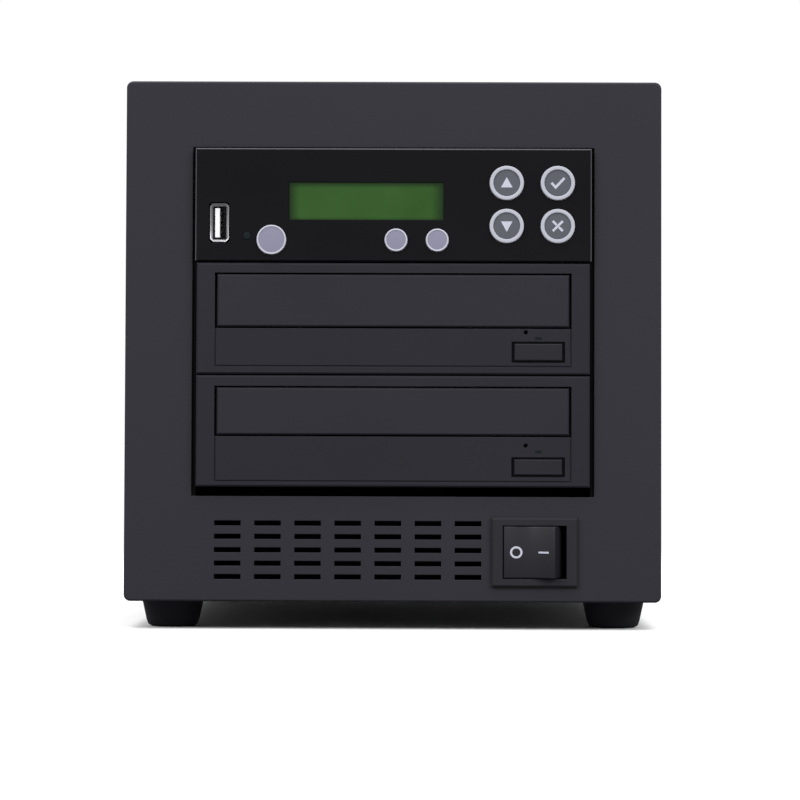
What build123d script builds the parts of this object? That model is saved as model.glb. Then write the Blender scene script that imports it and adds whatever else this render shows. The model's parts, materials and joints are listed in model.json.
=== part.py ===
"""Disc duplicator tower: one steel case that holds a control unit and two tray-loading optical drives.

Frame: +X to the right seen from the front, the front faces -Y, +Z up. The origin is on the floor,
under the middle of the tower. Lengths are in millimetres.
"""

import math
import os

from build123d import *

# ---------------------------------------------------------------- driving dimensions

# Case
CASE_WIDTH = 202.0
CASE_HEIGHT = 196.0
CASE_DEPTH = 320.0
CASE_CORNER = 2.5
SHEET = 1.0
FRONT_SHEET = 1.2
FRONT_FLANGE = 14.0
PANEL_SEAM = 0.3
SLIP = 0.2
REAR_LIP = 9.0
PAN_WALL_HEIGHT = 24.0
PAN_TONGUE_MARGIN = 5.0

# Feet
FOOT_HEIGHT = 10.5
FOOT_TOP_RADIUS = 11.85
FOOT_BOTTOM_RADIUS = 8.0
FOOT_SHOULDER = 2.6
FOOT_SHOULDER_RADIUS = 10.1
FOOT_EDGE = 0.8
FOOT_EDGE_RADIUS = 9.4
FOOT_RECESS_RADIUS = 5.0
FOOT_RECESS_DEPTH = 5.5
FOOT_SIDE_INSET = 16.7
FOOT_SETBACK = 29.0

# Bay window in the front panel and the three bays behind it
WINDOW_WIDTH = 151.5
WINDOW_UP = 39.5
BEZEL_PROUD = 3.0
BEZEL_WIDTH = 148.0
BEZEL_HEIGHT = 41.8
BEZEL_DEPTH = 5.5
BEZEL_WALL = 2.4
BEZEL_RIM = 1.6
BEZEL_CORNER = 0.6
BAY_GAP = 0.5
WINDOW_GAP_BELOW = 3.6
CONTROL_HEIGHT = 42.8

# Vent slots under the bays
VENT_COLUMNS = 7
VENT_ROWS = 5
VENT_WIDTH = 10.0
VENT_HEIGHT = 1.9
VENT_PITCH_X = 15.08
VENT_PITCH_Z = 5.03
VENT_FIRST_X = -62.06
VENT_TOP_ROW_UP = 29.4

# Rocker switch
SWITCH_X = 53.4
SWITCH_UP = 18.8
SWITCH_FLANGE_WIDTH = 32.2
SWITCH_FLANGE_HEIGHT = 25.9
SWITCH_FLANGE = 1.8
SWITCH_BODY_WIDTH = 30.0
SWITCH_BODY_HEIGHT = 22.4
SWITCH_BODY_DEPTH = 21.0
SWITCH_FIT = 0.15
ROCKER_OPENING_WIDTH = 24.0
ROCKER_OPENING_HEIGHT = 20.0
ROCKER_POCKET = 14.0
ROCKER_HALF_WIDTH = 11.2
ROCKER_FACE_HALF_WIDTH = 9.7
ROCKER_HEIGHT = 19.4
ROCKER_PIVOT_DEPTH = 7.5
ROCKER_FACE_REACH = 7.7
ROCKER_RISE = 2.5
ROCKER_HALF_TILT = 12.0
ROCKER_SKIRT = 3.0
ROCKER_TOE = 5.0
ROCKER_TOE_HALF_WIDTH = 3.0
ROCKER_PIN_RADIUS = 1.2
ROCKER_PIN_LENGTH = 0.8
PIN_FIT = 0.05
TERMINAL_LENGTH = 7.0
TERMINAL_WIDTH = 6.3
TERMINAL_THICKNESS = 0.8
TERMINAL_PITCH = 8.0

# Bay brackets
BRACKET_LENGTH = 176.0
BRACKET_CLEARANCE = 0.3
BRACKET_FLANGE = 11.0
BRACKET_PAD_SIZE = 8.0
BRACKET_PAD_FRONT = 38.0
BRACKET_PAD_SPACING = 79.0
BRACKET_PAD_UP = 10.0
BRACKET_WINDOW_LENGTH = 58.0
BRACKET_WINDOW_HEIGHT = 20.0

# Optical drives
DRIVE_WIDTH = 146.0
DRIVE_HEIGHT = 41.3
DRIVE_LENGTH = 165.0
DRIVE_SHEET = 0.8
LID_LIP = 5.0
LOADER_REAR_GAP = 10.0
LOADER_WALL = 1.8
LOADER_HEIGHT = 32.8
LOADER_FLOOR_UP = 13.0
LOADER_FLOOR = 1.6
GUIDE_WIDTH = 3.0
GUIDE_LIP = 1.5
BOARD_UP = 4.0
BOARD_THICKNESS = 1.6
BOARD_MARGIN = 8.0
DRIVE_CHIP = 18.0
DRIVE_CHIP_BEHIND = 60.0
PLUG_WIDTH = 8.0
PLUG_HEIGHT = 6.0
PLUG_LENGTH = 13.0
PLUG_OUTSIDE = 0.5
DATA_PLUG_X = 36.0
POWER_PLUG_X = 12.0
POWER_PLUG_WIDTH = 14.0
PLUG_CUT_CLEARANCE = 1.0

# Disc tray
TRAY_WIDTH = 129.0
TRAY_REAR_GAP = 12.5
TRAY_BOTTOM_UP = 20.5
TRAY_PLATE_UP = 24.5
TRAY_TOP_UP = 31.0
TRAY_SKIRT = 3.0
TRAY_SIDE_PLAY = 0.4
TRAY_SLIDE_GAP = 0.2
TRAY_KEPT_IN = 27.0
DISC_SETBACK = 68.0
DISC_WELL_RADIUS = 60.6
DISC_WELL_DEPTH = 3.0
SMALL_WELL_RADIUS = 40.5
SMALL_WELL_DEPTH = 1.6
LASER_SLOT_RADIUS = 19.0
LASER_SLOT_LENGTH = 46.0
FINGER_NOTCH_RADIUS = 9.0
DOOR_WIDTH = 132.4
DOOR_THICKNESS = 3.0
DOOR_SIDE_GAP = 0.9
DOOR_GAP = 0.6

# Tray rack and loading gear
GEAR_MODULE = 1.5
GEAR_TEETH = 12
GEAR_HEIGHT = 2.6
GEAR_BACKLASH = 0.35
GEAR_PRESSURE_ANGLE = 20.0
GEAR_TIP_FACTOR = 0.9
GEAR_ROOT_FACTOR = 1.25
GEAR_POST_RADIUS = 2.0
GEAR_SHOULDER_RADIUS = 3.5
GEAR_X = -44.0
GEAR_SETBACK = 20.0
RACK_BACK = 3.5

# Traverse deck, turntable and laser sled
DECK_SHEET = 1.2
DECK_HALF_WIDTH = 46.0
DECK_OPENING_HALF_WIDTH = 40.0
DECK_FRONT = 20.0
DECK_BEYOND_RODS = 6.0
DECK_OVERLAP = 3.0
ROD_RADIUS = 1.5
ROD_FIT = 0.08
ROD_HALF_SPACING = 28.0
ROD_RISE = 4.7
ROD_BLOCK = 4.0
ROD_BLOCK_HALF_WIDTH = 3.0
ROD_START = 15.0
ROD_REAR_GAP = 24.5
SLED_LENGTH = 22.0
SLED_GAP = 2.0
SLED_HALF_WIDTH = 31.5
SLED_BELOW_ROD = 2.6
SLED_ABOVE_ROD = 2.8
LENS_RADIUS = 3.2
LENS_RISE = 1.0
MOTOR_RADIUS = 12.0
MOTOR_HEIGHT = 6.0
SPINDLE_RADIUS = 1.5
TURNTABLE_RADIUS = 14.5
TURNTABLE_THICKNESS = 1.8
TURNTABLE_HUB_RADIUS = 7.4
TURNTABLE_HUB_TOP_RADIUS = 6.4
TURNTABLE_HUB_HEIGHT = 2.0
TURNTABLE_BOSS_RADIUS = 3.2
TURNTABLE_BOSS = 0.9
TURNTABLE_LIFT = 0.2

# Eject buttons
EJECT_X = 54.6
EJECT_WIDTH = 17.9
EJECT_SIDE_GAP = 1.1
EJECT_GAP = 0.8
EJECT_PROUD = 0.6
EJECT_FLANGE = 0.9
EJECT_FLANGE_THICKNESS = 1.0
EJECT_TRAVEL = 0.8
EJECT_STEM_RADIUS = 1.5
EJECT_STEM_LENGTH = 2.4
BUTTON_PLAY = 0.2
SWITCH_CAN = 6.0
EMERGENCY_X = 49.9
EMERGENCY_RADIUS = 0.8
LAMP_X = 54.7
LAMP_WIDTH = 2.4
LAMP_HEIGHT = 1.0
GROOVE_WIDTH = 0.6
GROOVE_DEPTH = 0.4

# The two drives differ in their faces: heights below the top of the bezel
FACE_1 = dict(door_top=3.7, door_opening=20.9, eject_top=30.2, eject_height=6.3,
              emergency_down=25.9, lamp_down=28.3, groove_up=2.7)
FACE_2 = dict(door_top=4.0, door_opening=18.9, eject_top=31.3, eject_height=5.8,
              emergency_down=26.1, lamp_down=28.5, groove_up=1.8)

# Control unit
OVERLAY = 1.6
OVERLAY_EDGE = 0.6
OVERLAY_OVERHANG = 0.6
HOUSING_WALL = 2.0
HOUSING_RIM = 1.6
HOUSING_DEPTH = 20.0
HOUSING_SIDE_CLEARANCE = 0.2
DISPLAY_X = -10.2
DISPLAY_UP = 22.9
DISPLAY_WIDTH = 58.2
DISPLAY_HEIGHT = 14.1
DISPLAY_SETBACK = 0.4
DISPLAY_FIT = 0.1
DISPLAY_FRAME_SIDE = 6.5
DISPLAY_FRAME_TOP = 3.5
PANEL_BOARD_SETBACK = 14.0
PANEL_BOARD_SIDE = 3.0
PANEL_BOARD_EDGE = 2.5
POST_SIZE = 3.2
POST_INSET = 2.0
LARGE_KEY_RADIUS = 6.45
COPY_KEY_RADIUS = 5.55
SMALL_KEY_RADIUS = 4.3
KEY_PROUD = 1.4
KEY_RIM = 1.8
KEY_DISH = 0.5
KEY_GAP = 0.25
KEY_FLANGE = 0.8
KEY_FLANGE_THICKNESS = 1.0
KEY_POCKET_GAP = 0.3
KEY_TRAVEL = 0.6
KEY_STEM_SIZE = 3.0
KEY_STEM_LENGTH = 1.4
KEY_SWITCH_SIZE = 6.0
KEY_SWITCH_BODY = 3.5
KEY_PLUNGER_SIZE = 3.0
LARGE_KEY_COLUMN_LEFT = 42.6
LARGE_KEY_COLUMN_RIGHT = 61.8
LARGE_KEY_ROW_TOP = 29.8
LARGE_KEY_ROW_LOW = 13.6
SMALL_KEY_LEFT = 1.0
SMALL_KEY_RIGHT = 16.5
SMALL_KEY_ROW = 8.2
COPY_KEY_X = -45.9
COPY_KEY_UP = 8.2

# USB socket and its lamp
USB_X = -65.5
USB_UP = 14.6
USB_WIDTH = 5.7
USB_HEIGHT = 13.1
USB_SHELL = 0.3
USB_FLARE = 0.8
USB_FLARE_DEPTH = 0.6
USB_SETBACK = 0.3
USB_CLEARANCE = 0.3
USB_TONGUE = 1.84
USB_TONGUE_GAP = 0.8
USB_TONGUE_SETBACK = 1.2
USB_TONGUE_HEIGHT = 11.1
USB_CAVITY = 12.0
USB_LAMP_X = -55.1
USB_LAMP_UP = 9.8
USB_LAMP_RADIUS = 1.4
USB_LAMP_PROUD = 0.3
USB_LAMP_FIT = 0.1

# Shelf and controller board of the top bay
SHELF_LENGTH = 118.0
SHELF_WALL = 22.0
CONTROLLER_UP = 7.0
CONTROLLER_WIDTH = 124.0
CONTROLLER_LENGTH = 84.0
CONTROLLER_SETBACK = 36.0
STANDOFF_SIZE = 5.0
STANDOFF_INSET = 6.0
CONTROLLER_CHIP = 24.0
CONTROLLER_CHIP_BEHIND = 30.0
CHIP_HEIGHT = 2.0
CHIP_GAP = 10.0
CHIP_LEFT = 50.0

# Power supply and mains inlet
SUPPLY_WIDTH = 81.5
SUPPLY_HEIGHT = 40.5
SUPPLY_LENGTH = 150.0
SUPPLY_X = -20.0
SUPPLY_VENTS = 6
SUPPLY_VENT_PITCH = 5.0
SUPPLY_VENT_WIDTH = 2.2
SUPPLY_VENT_HEIGHT = 26.0
SUPPLY_VENT_X = 18.0
SUPPLY_CUT_MARGIN = 1.0
INLET_OFFSET_X = -18.0
INLET_WIDTH = 27.0
INLET_HEIGHT = 20.0
INLET_LENGTH = 20.0
INLET_FLANGE_WIDTH = 31.0
INLET_FLANGE_HEIGHT = 24.0
INLET_FLANGE = 2.0
INLET_SOCKET_WIDTH = 24.2
INLET_SOCKET_HEIGHT = 16.4
INLET_SOCKET_DEPTH = 17.0
INLET_SOCKET_CHAMFER = 4.0
INLET_PIN_LENGTH = 14.0
INLET_PIN_WIDTH = 2.0
INLET_PIN_HEIGHT = 4.0
INLET_PIN_PITCH = 7.0
INLET_EARTH_UP = 4.0
INLET_LIVE_UP = -0.5
INLET_FIT = 0.1

# Rear fan
FAN_SIDE_INSET = 51.0
FAN_DOWN = 57.0
FAN_SIZE = 80.0
FAN_DEPTH = 25.0
FAN_CORNER = 4.0
FAN_BORE_RADIUS = 38.5
FAN_TIP_GAP = 1.2
FAN_HUB_RADIUS = 15.5
FAN_HUB_WALL = 1.5
FAN_HUB_LENGTH = 18.0
FAN_MOUNT_RADIUS = 15.0
FAN_MOUNT_DEPTH = 3.0
FAN_STRUT_WIDTH = 4.0
FAN_STRUTS = 4
FAN_PIN_RADIUS = 2.0
FAN_BLADES = 7
FAN_BLADE = 1.2
FAN_BLADE_CHORD = 17.0
FAN_ROOT_PITCH = 52.0
FAN_TIP_PITCH = 30.0
FAN_RUN_GAP = 0.3
GRILLE_RINGS = 3
GRILLE_RING = 6.6
GRILLE_BAR = 2.6
GRILLE_HUB_RADIUS = 9.0
GRILLE_SPOKE = 3.0

# Cables that run inside the case
CABLE_WIDTH = 8.0
CABLE_THICKNESS = 1.8
CABLE_STEP = 8.0
CABLE_BACK_RUN = 24.0
RIBBON_WIDTH = 24.0
RIBBON_THICKNESS = 1.0
RIBBON_X = 0.0
BEND_SHARE = 0.45

# ---------------------------------------------------------------- places worked out from the sizes

ROCKER_TURN = math.radians(ROCKER_HALF_TILT)
ROCKER_PROUD = ((ROCKER_FACE_REACH + ROCKER_RISE) * math.cos(ROCKER_TURN)
                + ROCKER_FACE_HALF_WIDTH * math.sin(ROCKER_TURN) - ROCKER_PIVOT_DEPTH)
FRONT_REACH = max(BEZEL_PROUD + KEY_PROUD, SWITCH_FLANGE + ROCKER_PROUD)
REAR_REACH = INLET_FLANGE - SHEET
CASE_FRONT = -(CASE_DEPTH + FRONT_REACH + REAR_REACH) / 2 + FRONT_REACH
CASE_REAR = CASE_FRONT + CASE_DEPTH
CASE_BOTTOM = FOOT_HEIGHT
CASE_TOP = CASE_BOTTOM + CASE_HEIGHT
HALF_WIDTH = CASE_WIDTH / 2
INNER_HALF = HALF_WIDTH - SHEET
FLANGE_END = CASE_FRONT + FRONT_FLANGE
FLOOR_TOP = CASE_BOTTOM + SHEET
TONGUE_BOTTOM = CASE_BOTTOM + FRONT_SHEET
TONGUE_TOP = TONGUE_BOTTOM + SHEET
REAR_PANEL_BACK = CASE_REAR - SHEET
REAR_PANEL_FRONT = REAR_PANEL_BACK - SHEET

FACE = CASE_FRONT - BEZEL_PROUD
BEZEL_BACK = FACE + BEZEL_DEPTH
WINDOW_BOTTOM = CASE_BOTTOM + WINDOW_UP
BEZEL_2_BOTTOM = WINDOW_BOTTOM + WINDOW_GAP_BELOW
BEZEL_1_BOTTOM = BEZEL_2_BOTTOM + BEZEL_HEIGHT + BAY_GAP
CONTROL_BOTTOM = BEZEL_1_BOTTOM + BEZEL_HEIGHT + BAY_GAP
CONTROL_TOP = CONTROL_BOTTOM + CONTROL_HEIGHT
WINDOW_TOP = CONTROL_TOP + BAY_GAP

SWITCH_Z = CASE_BOTTOM + SWITCH_UP
SWITCH_FACE = CASE_FRONT - SWITCH_FLANGE
ROCKER_PIVOT_Y = SWITCH_FACE + ROCKER_PIVOT_DEPTH

BRACKET_INNER = BEZEL_WIDTH / 2 + BRACKET_CLEARANCE
BRACKET_FRONT = CASE_FRONT + FRONT_SHEET
PAD_PLACES = (BRACKET_PAD_FRONT, BRACKET_PAD_FRONT + BRACKET_PAD_SPACING)
BAY_BOTTOMS = (CONTROL_BOTTOM, BEZEL_1_BOTTOM, BEZEL_2_BOTTOM)

DISC_Y = FACE + DISC_SETBACK
GEAR_Y = FACE + GEAR_SETBACK
GEAR_PITCH_RADIUS = GEAR_MODULE * GEAR_TEETH / 2
RACK_PITCH = math.pi * GEAR_MODULE
RACK_PITCH_X = GEAR_X - GEAR_PITCH_RADIUS
DRIVE_LIFT = (BEZEL_HEIGHT - DRIVE_HEIGHT) / 2
DRIVE_REAR = BEZEL_BACK + DRIVE_LENGTH
TRAY_FRONT = FACE + DOOR_THICKNESS
TRAY_REAR = DRIVE_REAR - TRAY_REAR_GAP
TRAY_STROKE = DRIVE_LENGTH - TRAY_KEPT_IN
ROD_UP = LOADER_FLOOR_UP + ROD_RISE
ROD_END = DRIVE_REAR - ROD_REAR_GAP - DISC_Y
DECK_REAR = ROD_END + DECK_BEYOND_RODS

OVERLAY_BACK = FACE + OVERLAY
HOUSING_BACK = OVERLAY_BACK + HOUSING_WALL
PANEL_BOARD_FRONT = FACE + PANEL_BOARD_SETBACK
PANEL_BOARD_BACK = PANEL_BOARD_FRONT + BOARD_THICKNESS
SHELF_FLOOR = CONTROL_BOTTOM + SHEET
CONTROLLER_Z = SHELF_FLOOR + CONTROLLER_UP
CONTROLLER_FRONT = FACE + CONTROLLER_SETBACK
CONTROLLER_REAR = CONTROLLER_FRONT + CONTROLLER_LENGTH
PLUG_REAR = DRIVE_REAR + PLUG_OUTSIDE

SUPPLY_REAR = REAR_PANEL_FRONT
SUPPLY_FRONT = SUPPLY_REAR - SUPPLY_LENGTH
SUPPLY_TOP = FLOOR_TOP + SUPPLY_HEIGHT
INLET_X = SUPPLY_X + INLET_OFFSET_X
INLET_Z = FLOOR_TOP + SUPPLY_HEIGHT / 2
FAN_X = HALF_WIDTH - FAN_SIDE_INSET
FAN_Z = CASE_TOP - FAN_DOWN
FAN_BACK = REAR_PANEL_FRONT
FAN_FRONT = FAN_BACK - FAN_DEPTH
FAN_TIP_RADIUS = FAN_BORE_RADIUS - FAN_TIP_GAP

KEYS = {
    "key_up": (LARGE_KEY_COLUMN_LEFT, LARGE_KEY_ROW_TOP, LARGE_KEY_RADIUS),
    "key_down": (LARGE_KEY_COLUMN_LEFT, LARGE_KEY_ROW_LOW, LARGE_KEY_RADIUS),
    "key_enter": (LARGE_KEY_COLUMN_RIGHT, LARGE_KEY_ROW_TOP, LARGE_KEY_RADIUS),
    "key_cancel": (LARGE_KEY_COLUMN_RIGHT, LARGE_KEY_ROW_LOW, LARGE_KEY_RADIUS),
    "key_small_left": (SMALL_KEY_LEFT, SMALL_KEY_ROW, SMALL_KEY_RADIUS),
    "key_small_right": (SMALL_KEY_RIGHT, SMALL_KEY_ROW, SMALL_KEY_RADIUS),
    "key_copy": (COPY_KEY_X, COPY_KEY_UP, COPY_KEY_RADIUS),
}


# ---------------------------------------------------------------- helpers

def span(x, y, z):
    """A box between the low and high values of each axis."""
    size = (x[1] - x[0], y[1] - y[0], z[1] - z[0])
    return Pos((x[0] + x[1]) / 2, (y[0] + y[1]) / 2, (z[0] + z[1]) / 2) * Box(*size)


def block(x, width, y, z, height):
    """A box centred at x and z, between two values of Y."""
    return span((x - width / 2, x + width / 2), y, (z - height / 2, z + height / 2))


def standoff(x, y, z0, z1):
    """A square post that a circuit board rests on."""
    half = STANDOFF_SIZE / 2
    return span((x - half, x + half), (y - half, y + half), (z0, z1))


def chips(front, size, z):
    """Two square packages side by side on a circuit board, left of its middle."""
    places = (-CHIP_LEFT, size + CHIP_GAP - CHIP_LEFT)
    return [span((x, x + size), (front, front + size), (z, z + CHIP_HEIGHT)) for x in places]


def along_x(sketch, x0, x1):
    """A sketch in (Y, Z) pulled from x0 to x1."""
    return Pos(x0, 0, 0) * extrude(Plane.YZ * sketch, amount=x1 - x0)


def along_y(sketch, y0, y1):
    """A sketch in (X, Z) pulled from y0 to y1."""
    return Pos(0, y1, 0) * extrude(Plane.XZ * sketch, amount=y1 - y0)


def along_z(sketch, z0, z1):
    """A sketch in (X, Y) pulled from z0 to z1."""
    return Pos(0, 0, z0) * extrude(sketch, amount=z1 - z0)


def rod_y(x, z, radius, y0, y1):
    return along_y(Pos(x, z) * Circle(radius), y0, y1)


def rod_z(x, y, radius, z0, z1):
    return along_z(Pos(x, y) * Circle(radius), z0, z1)


def outline(*points):
    """A flat face with straight edges through the points."""
    return make_face(Polyline(*points, close=True))


def flat_cable(points, x, width, thickness):
    """A flat cable that keeps its width along X and runs through (y, z) points in one upright plane."""
    corners = [Vector(x, y, z) for y, z in points]
    runs = [(b - a).length for a, b in zip(corners, corners[1:])]
    radii = []
    for i in range(1, len(corners) - 1):
        turn = (corners[i] - corners[i - 1]).get_angle(corners[i + 1] - corners[i])
        radii.append(BEND_SHARE * min(runs[i - 1], runs[i]) / math.tan(math.radians(turn / 2)))
    path = FilletPolyline(*corners, radius=radii)
    start = Plane(origin=path @ 0, x_dir=(1, 0, 0), z_dir=path % 0)
    return sweep(start * Rectangle(width, thickness), path=path)


# ---------------------------------------------------------------- case

def front_panel():
    middle = Pos(0, (CASE_BOTTOM + CASE_TOP) / 2)
    body = along_y(middle * RectangleRounded(CASE_WIDTH, CASE_HEIGHT, CASE_CORNER), CASE_FRONT, FLANGE_END)
    body = chamfer(body.edges().group_by(Axis.Y)[0], FRONT_SHEET / 2)
    width, height = CASE_WIDTH - 2 * FRONT_SHEET, CASE_HEIGHT - 2 * FRONT_SHEET
    inside = RectangleRounded(width, height, CASE_CORNER - FRONT_SHEET)
    body -= along_y(middle * inside, BRACKET_FRONT, FLANGE_END)
    sheet = (CASE_FRONT, BRACKET_FRONT)
    cuts = [span((-WINDOW_WIDTH / 2, WINDOW_WIDTH / 2), sheet, (WINDOW_BOTTOM, WINDOW_TOP))]
    for column in range(VENT_COLUMNS):
        for row in range(VENT_ROWS):
            x = VENT_FIRST_X + column * VENT_PITCH_X
            z = CASE_BOTTOM + VENT_TOP_ROW_UP - row * VENT_PITCH_Z
            cuts.append(block(x, VENT_WIDTH, sheet, z, VENT_HEIGHT))
    width = SWITCH_BODY_WIDTH + 2 * SWITCH_FIT
    height = SWITCH_BODY_HEIGHT + 2 * SWITCH_FIT
    cuts.append(block(SWITCH_X, width, sheet, SWITCH_Z, height))
    return body - cuts


def top_cover():
    """Wrap-around cover: top, two sides and a lip turned in at the rear."""
    front = FLANGE_END + PANEL_SEAM
    edge = CASE_BOTTOM + CASE_CORNER
    middle = (edge + CASE_TOP) / 2
    shell = Pos(0, middle) * Rectangle(CASE_WIDTH, CASE_TOP - edge)
    shell = fillet(shell.vertices().group_by(Axis.Y)[-1], CASE_CORNER)
    hollow = Pos(0, middle - SHEET) * Rectangle(CASE_WIDTH - 2 * SHEET, CASE_TOP - edge)
    hollow = fillet(hollow.vertices().group_by(Axis.Y)[-1], CASE_CORNER - SHEET)
    body = along_y(shell, front, CASE_REAR) - along_y(hollow, front, REAR_PANEL_BACK)
    lip_inner = INNER_HALF - REAR_LIP
    body -= span((-lip_inner, lip_inner), (REAR_PANEL_BACK, CASE_REAR),
                 (CASE_BOTTOM, CASE_TOP - SHEET - REAR_LIP))
    return body


def foot_places():
    rows = (CASE_FRONT + FOOT_SETBACK, CASE_REAR - FOOT_SETBACK)
    half_spacing = HALF_WIDTH - FOOT_SIDE_INSET
    return {f"foot_{end}_{side}": (sign * half_spacing, y)
            for end, y in zip(("front", "rear"), rows)
            for side, sign in (("left", -1), ("right", 1))}


def base_pan():
    """Floor with two side walls, a rear upstand and a front tongue stepped over the front panel's flange."""
    tongue_half = HALF_WIDTH - FRONT_SHEET - PAN_TONGUE_MARGIN
    floor_front = FLANGE_END
    body = span((-INNER_HALF, INNER_HALF), (floor_front, REAR_PANEL_BACK), (CASE_BOTTOM, FLOOR_TOP))
    step = outline((BRACKET_FRONT, TONGUE_BOTTOM), (floor_front, TONGUE_BOTTOM), (floor_front, CASE_BOTTOM),
                   (floor_front + SHEET, CASE_BOTTOM), (floor_front + SHEET, TONGUE_TOP),
                   (BRACKET_FRONT, TONGUE_TOP))
    body += along_x(step, -tongue_half, tongue_half)
    for sign in (-1, 1):
        wall = sorted((sign * INNER_HALF, sign * (INNER_HALF - SHEET)))
        body += span(wall, (floor_front, REAR_PANEL_FRONT), (CASE_BOTTOM, CASE_BOTTOM + PAN_WALL_HEIGHT))
    return body


def ring_slots(y0, y1):
    """Arc slots of the fan grille, with four spokes left between them."""
    rings = []
    for ring in range(GRILLE_RINGS):
        inner = GRILLE_HUB_RADIUS + ring * (GRILLE_RING + GRILLE_BAR)
        rings.append(Circle(inner + GRILLE_RING) - Circle(inner))
    reach = GRILLE_HUB_RADIUS + GRILLE_RINGS * (GRILLE_RING + GRILLE_BAR)
    spokes = Rectangle(2 * reach, GRILLE_SPOKE) + Rectangle(GRILLE_SPOKE, 2 * reach)
    face = Sketch() + rings - Rot(0, 0, 45) * spokes
    return along_y(Pos(FAN_X, FAN_Z) * face, y0, y1)


def rear_panel():
    height = CASE_TOP - SHEET - SLIP - FLOOR_TOP
    plate = RectangleRounded(2 * (INNER_HALF - SLIP), height, CASE_CORNER - SHEET)
    body = along_y(Pos(0, FLOOR_TOP + height / 2) * plate, REAR_PANEL_FRONT, REAR_PANEL_BACK)
    body -= ring_slots(REAR_PANEL_FRONT, REAR_PANEL_BACK)
    sheet = (REAR_PANEL_FRONT, REAR_PANEL_BACK)
    width = (SUPPLY_VENTS - 1) * SUPPLY_VENT_PITCH + SUPPLY_VENT_WIDTH + 2 * SUPPLY_CUT_MARGIN
    height = SUPPLY_VENT_HEIGHT + 2 * SUPPLY_CUT_MARGIN
    body -= block(SUPPLY_X + SUPPLY_VENT_X, width, sheet, INLET_Z, height)
    return body - block(INLET_X, INLET_WIDTH + 2 * INLET_FIT, sheet, INLET_Z, INLET_HEIGHT + 2 * INLET_FIT)


def foot(x, y):
    profile = outline((FOOT_RECESS_RADIUS, 0), (FOOT_BOTTOM_RADIUS, 0), (FOOT_EDGE_RADIUS, FOOT_EDGE),
                      (FOOT_SHOULDER_RADIUS, FOOT_SHOULDER), (FOOT_TOP_RADIUS, FOOT_HEIGHT), (0, FOOT_HEIGHT),
                      (0, FOOT_RECESS_DEPTH), (FOOT_RECESS_RADIUS, FOOT_RECESS_DEPTH))
    return Pos(x, y, 0) * revolve(Plane.XZ * profile, Axis.Z)


def bay_bracket(sign):
    """Upright side of the drive cage, seated on the floor by a foot flange and on the front panel."""
    inner, outer = BRACKET_INNER, BRACKET_INNER + SHEET
    rear = BRACKET_FRONT + BRACKET_LENGTH
    leg_front = FLANGE_END + 2 * SHEET
    leg_rear = SUPPLY_FRONT - SHEET
    side = outline((BRACKET_FRONT, TONGUE_TOP), (leg_front, TONGUE_TOP), (leg_front, FLOOR_TOP),
                   (leg_rear, FLOOR_TOP), (leg_rear, BEZEL_2_BOTTOM), (rear, BEZEL_2_BOTTOM),
                   (rear, CONTROL_TOP), (BRACKET_FRONT, CONTROL_TOP))
    body = along_x(side, inner, outer)
    body += span((outer, outer + BRACKET_FLANGE), (leg_front, leg_rear), (FLOOR_TOP, FLOOR_TOP + SHEET))
    body += span((outer, outer + BRACKET_FLANGE), (BRACKET_FRONT, BRACKET_FRONT + SHEET),
                 (WINDOW_BOTTOM, CONTROL_TOP))
    window_front = FACE + (PAD_PLACES[0] + PAD_PLACES[1] - BRACKET_WINDOW_LENGTH) / 2
    window_y = (window_front, window_front + BRACKET_WINDOW_LENGTH)
    for bottom in BAY_BOTTOMS:
        low = bottom + (BEZEL_HEIGHT - BRACKET_WINDOW_HEIGHT) / 2
        body -= span((inner, outer), window_y, (low, low + BRACKET_WINDOW_HEIGHT))
        for place in PAD_PLACES:
            y = FACE + place - BRACKET_PAD_SIZE / 2
            z = bottom + BRACKET_PAD_UP - BRACKET_PAD_SIZE / 2
            body += span((DRIVE_WIDTH / 2, inner), (y, y + BRACKET_PAD_SIZE), (z, z + BRACKET_PAD_SIZE))
    return body if sign > 0 else mirror(body, Plane.YZ)


# ---------------------------------------------------------------- mains switch

def power_switch_body():
    y = (SWITCH_FACE, CASE_FRONT)
    body = block(SWITCH_X, SWITCH_FLANGE_WIDTH, y, SWITCH_Z, SWITCH_FLANGE_HEIGHT)
    body = chamfer(body.edges().group_by(Axis.Y)[0], SWITCH_FLANGE / 3)
    back = SWITCH_FACE + SWITCH_BODY_DEPTH
    body += block(SWITCH_X, SWITCH_BODY_WIDTH, (CASE_FRONT, back), SWITCH_Z, SWITCH_BODY_HEIGHT)
    pocket = (SWITCH_FACE, SWITCH_FACE + ROCKER_POCKET)
    body -= block(SWITCH_X, ROCKER_OPENING_WIDTH, pocket, SWITCH_Z, ROCKER_OPENING_HEIGHT)
    pin_half = ROCKER_HEIGHT / 2 + ROCKER_PIN_LENGTH + PIN_FIT
    pin_radius = ROCKER_PIN_RADIUS + PIN_FIT
    body -= rod_z(SWITCH_X, ROCKER_PIVOT_Y, pin_radius, SWITCH_Z - pin_half, SWITCH_Z + pin_half)
    terminal = (back, back + TERMINAL_LENGTH)
    for i in (-1, 0, 1):
        body += block(SWITCH_X + i * TERMINAL_PITCH, TERMINAL_THICKNESS, terminal, SWITCH_Z, TERMINAL_WIDTH)
    return body


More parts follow.
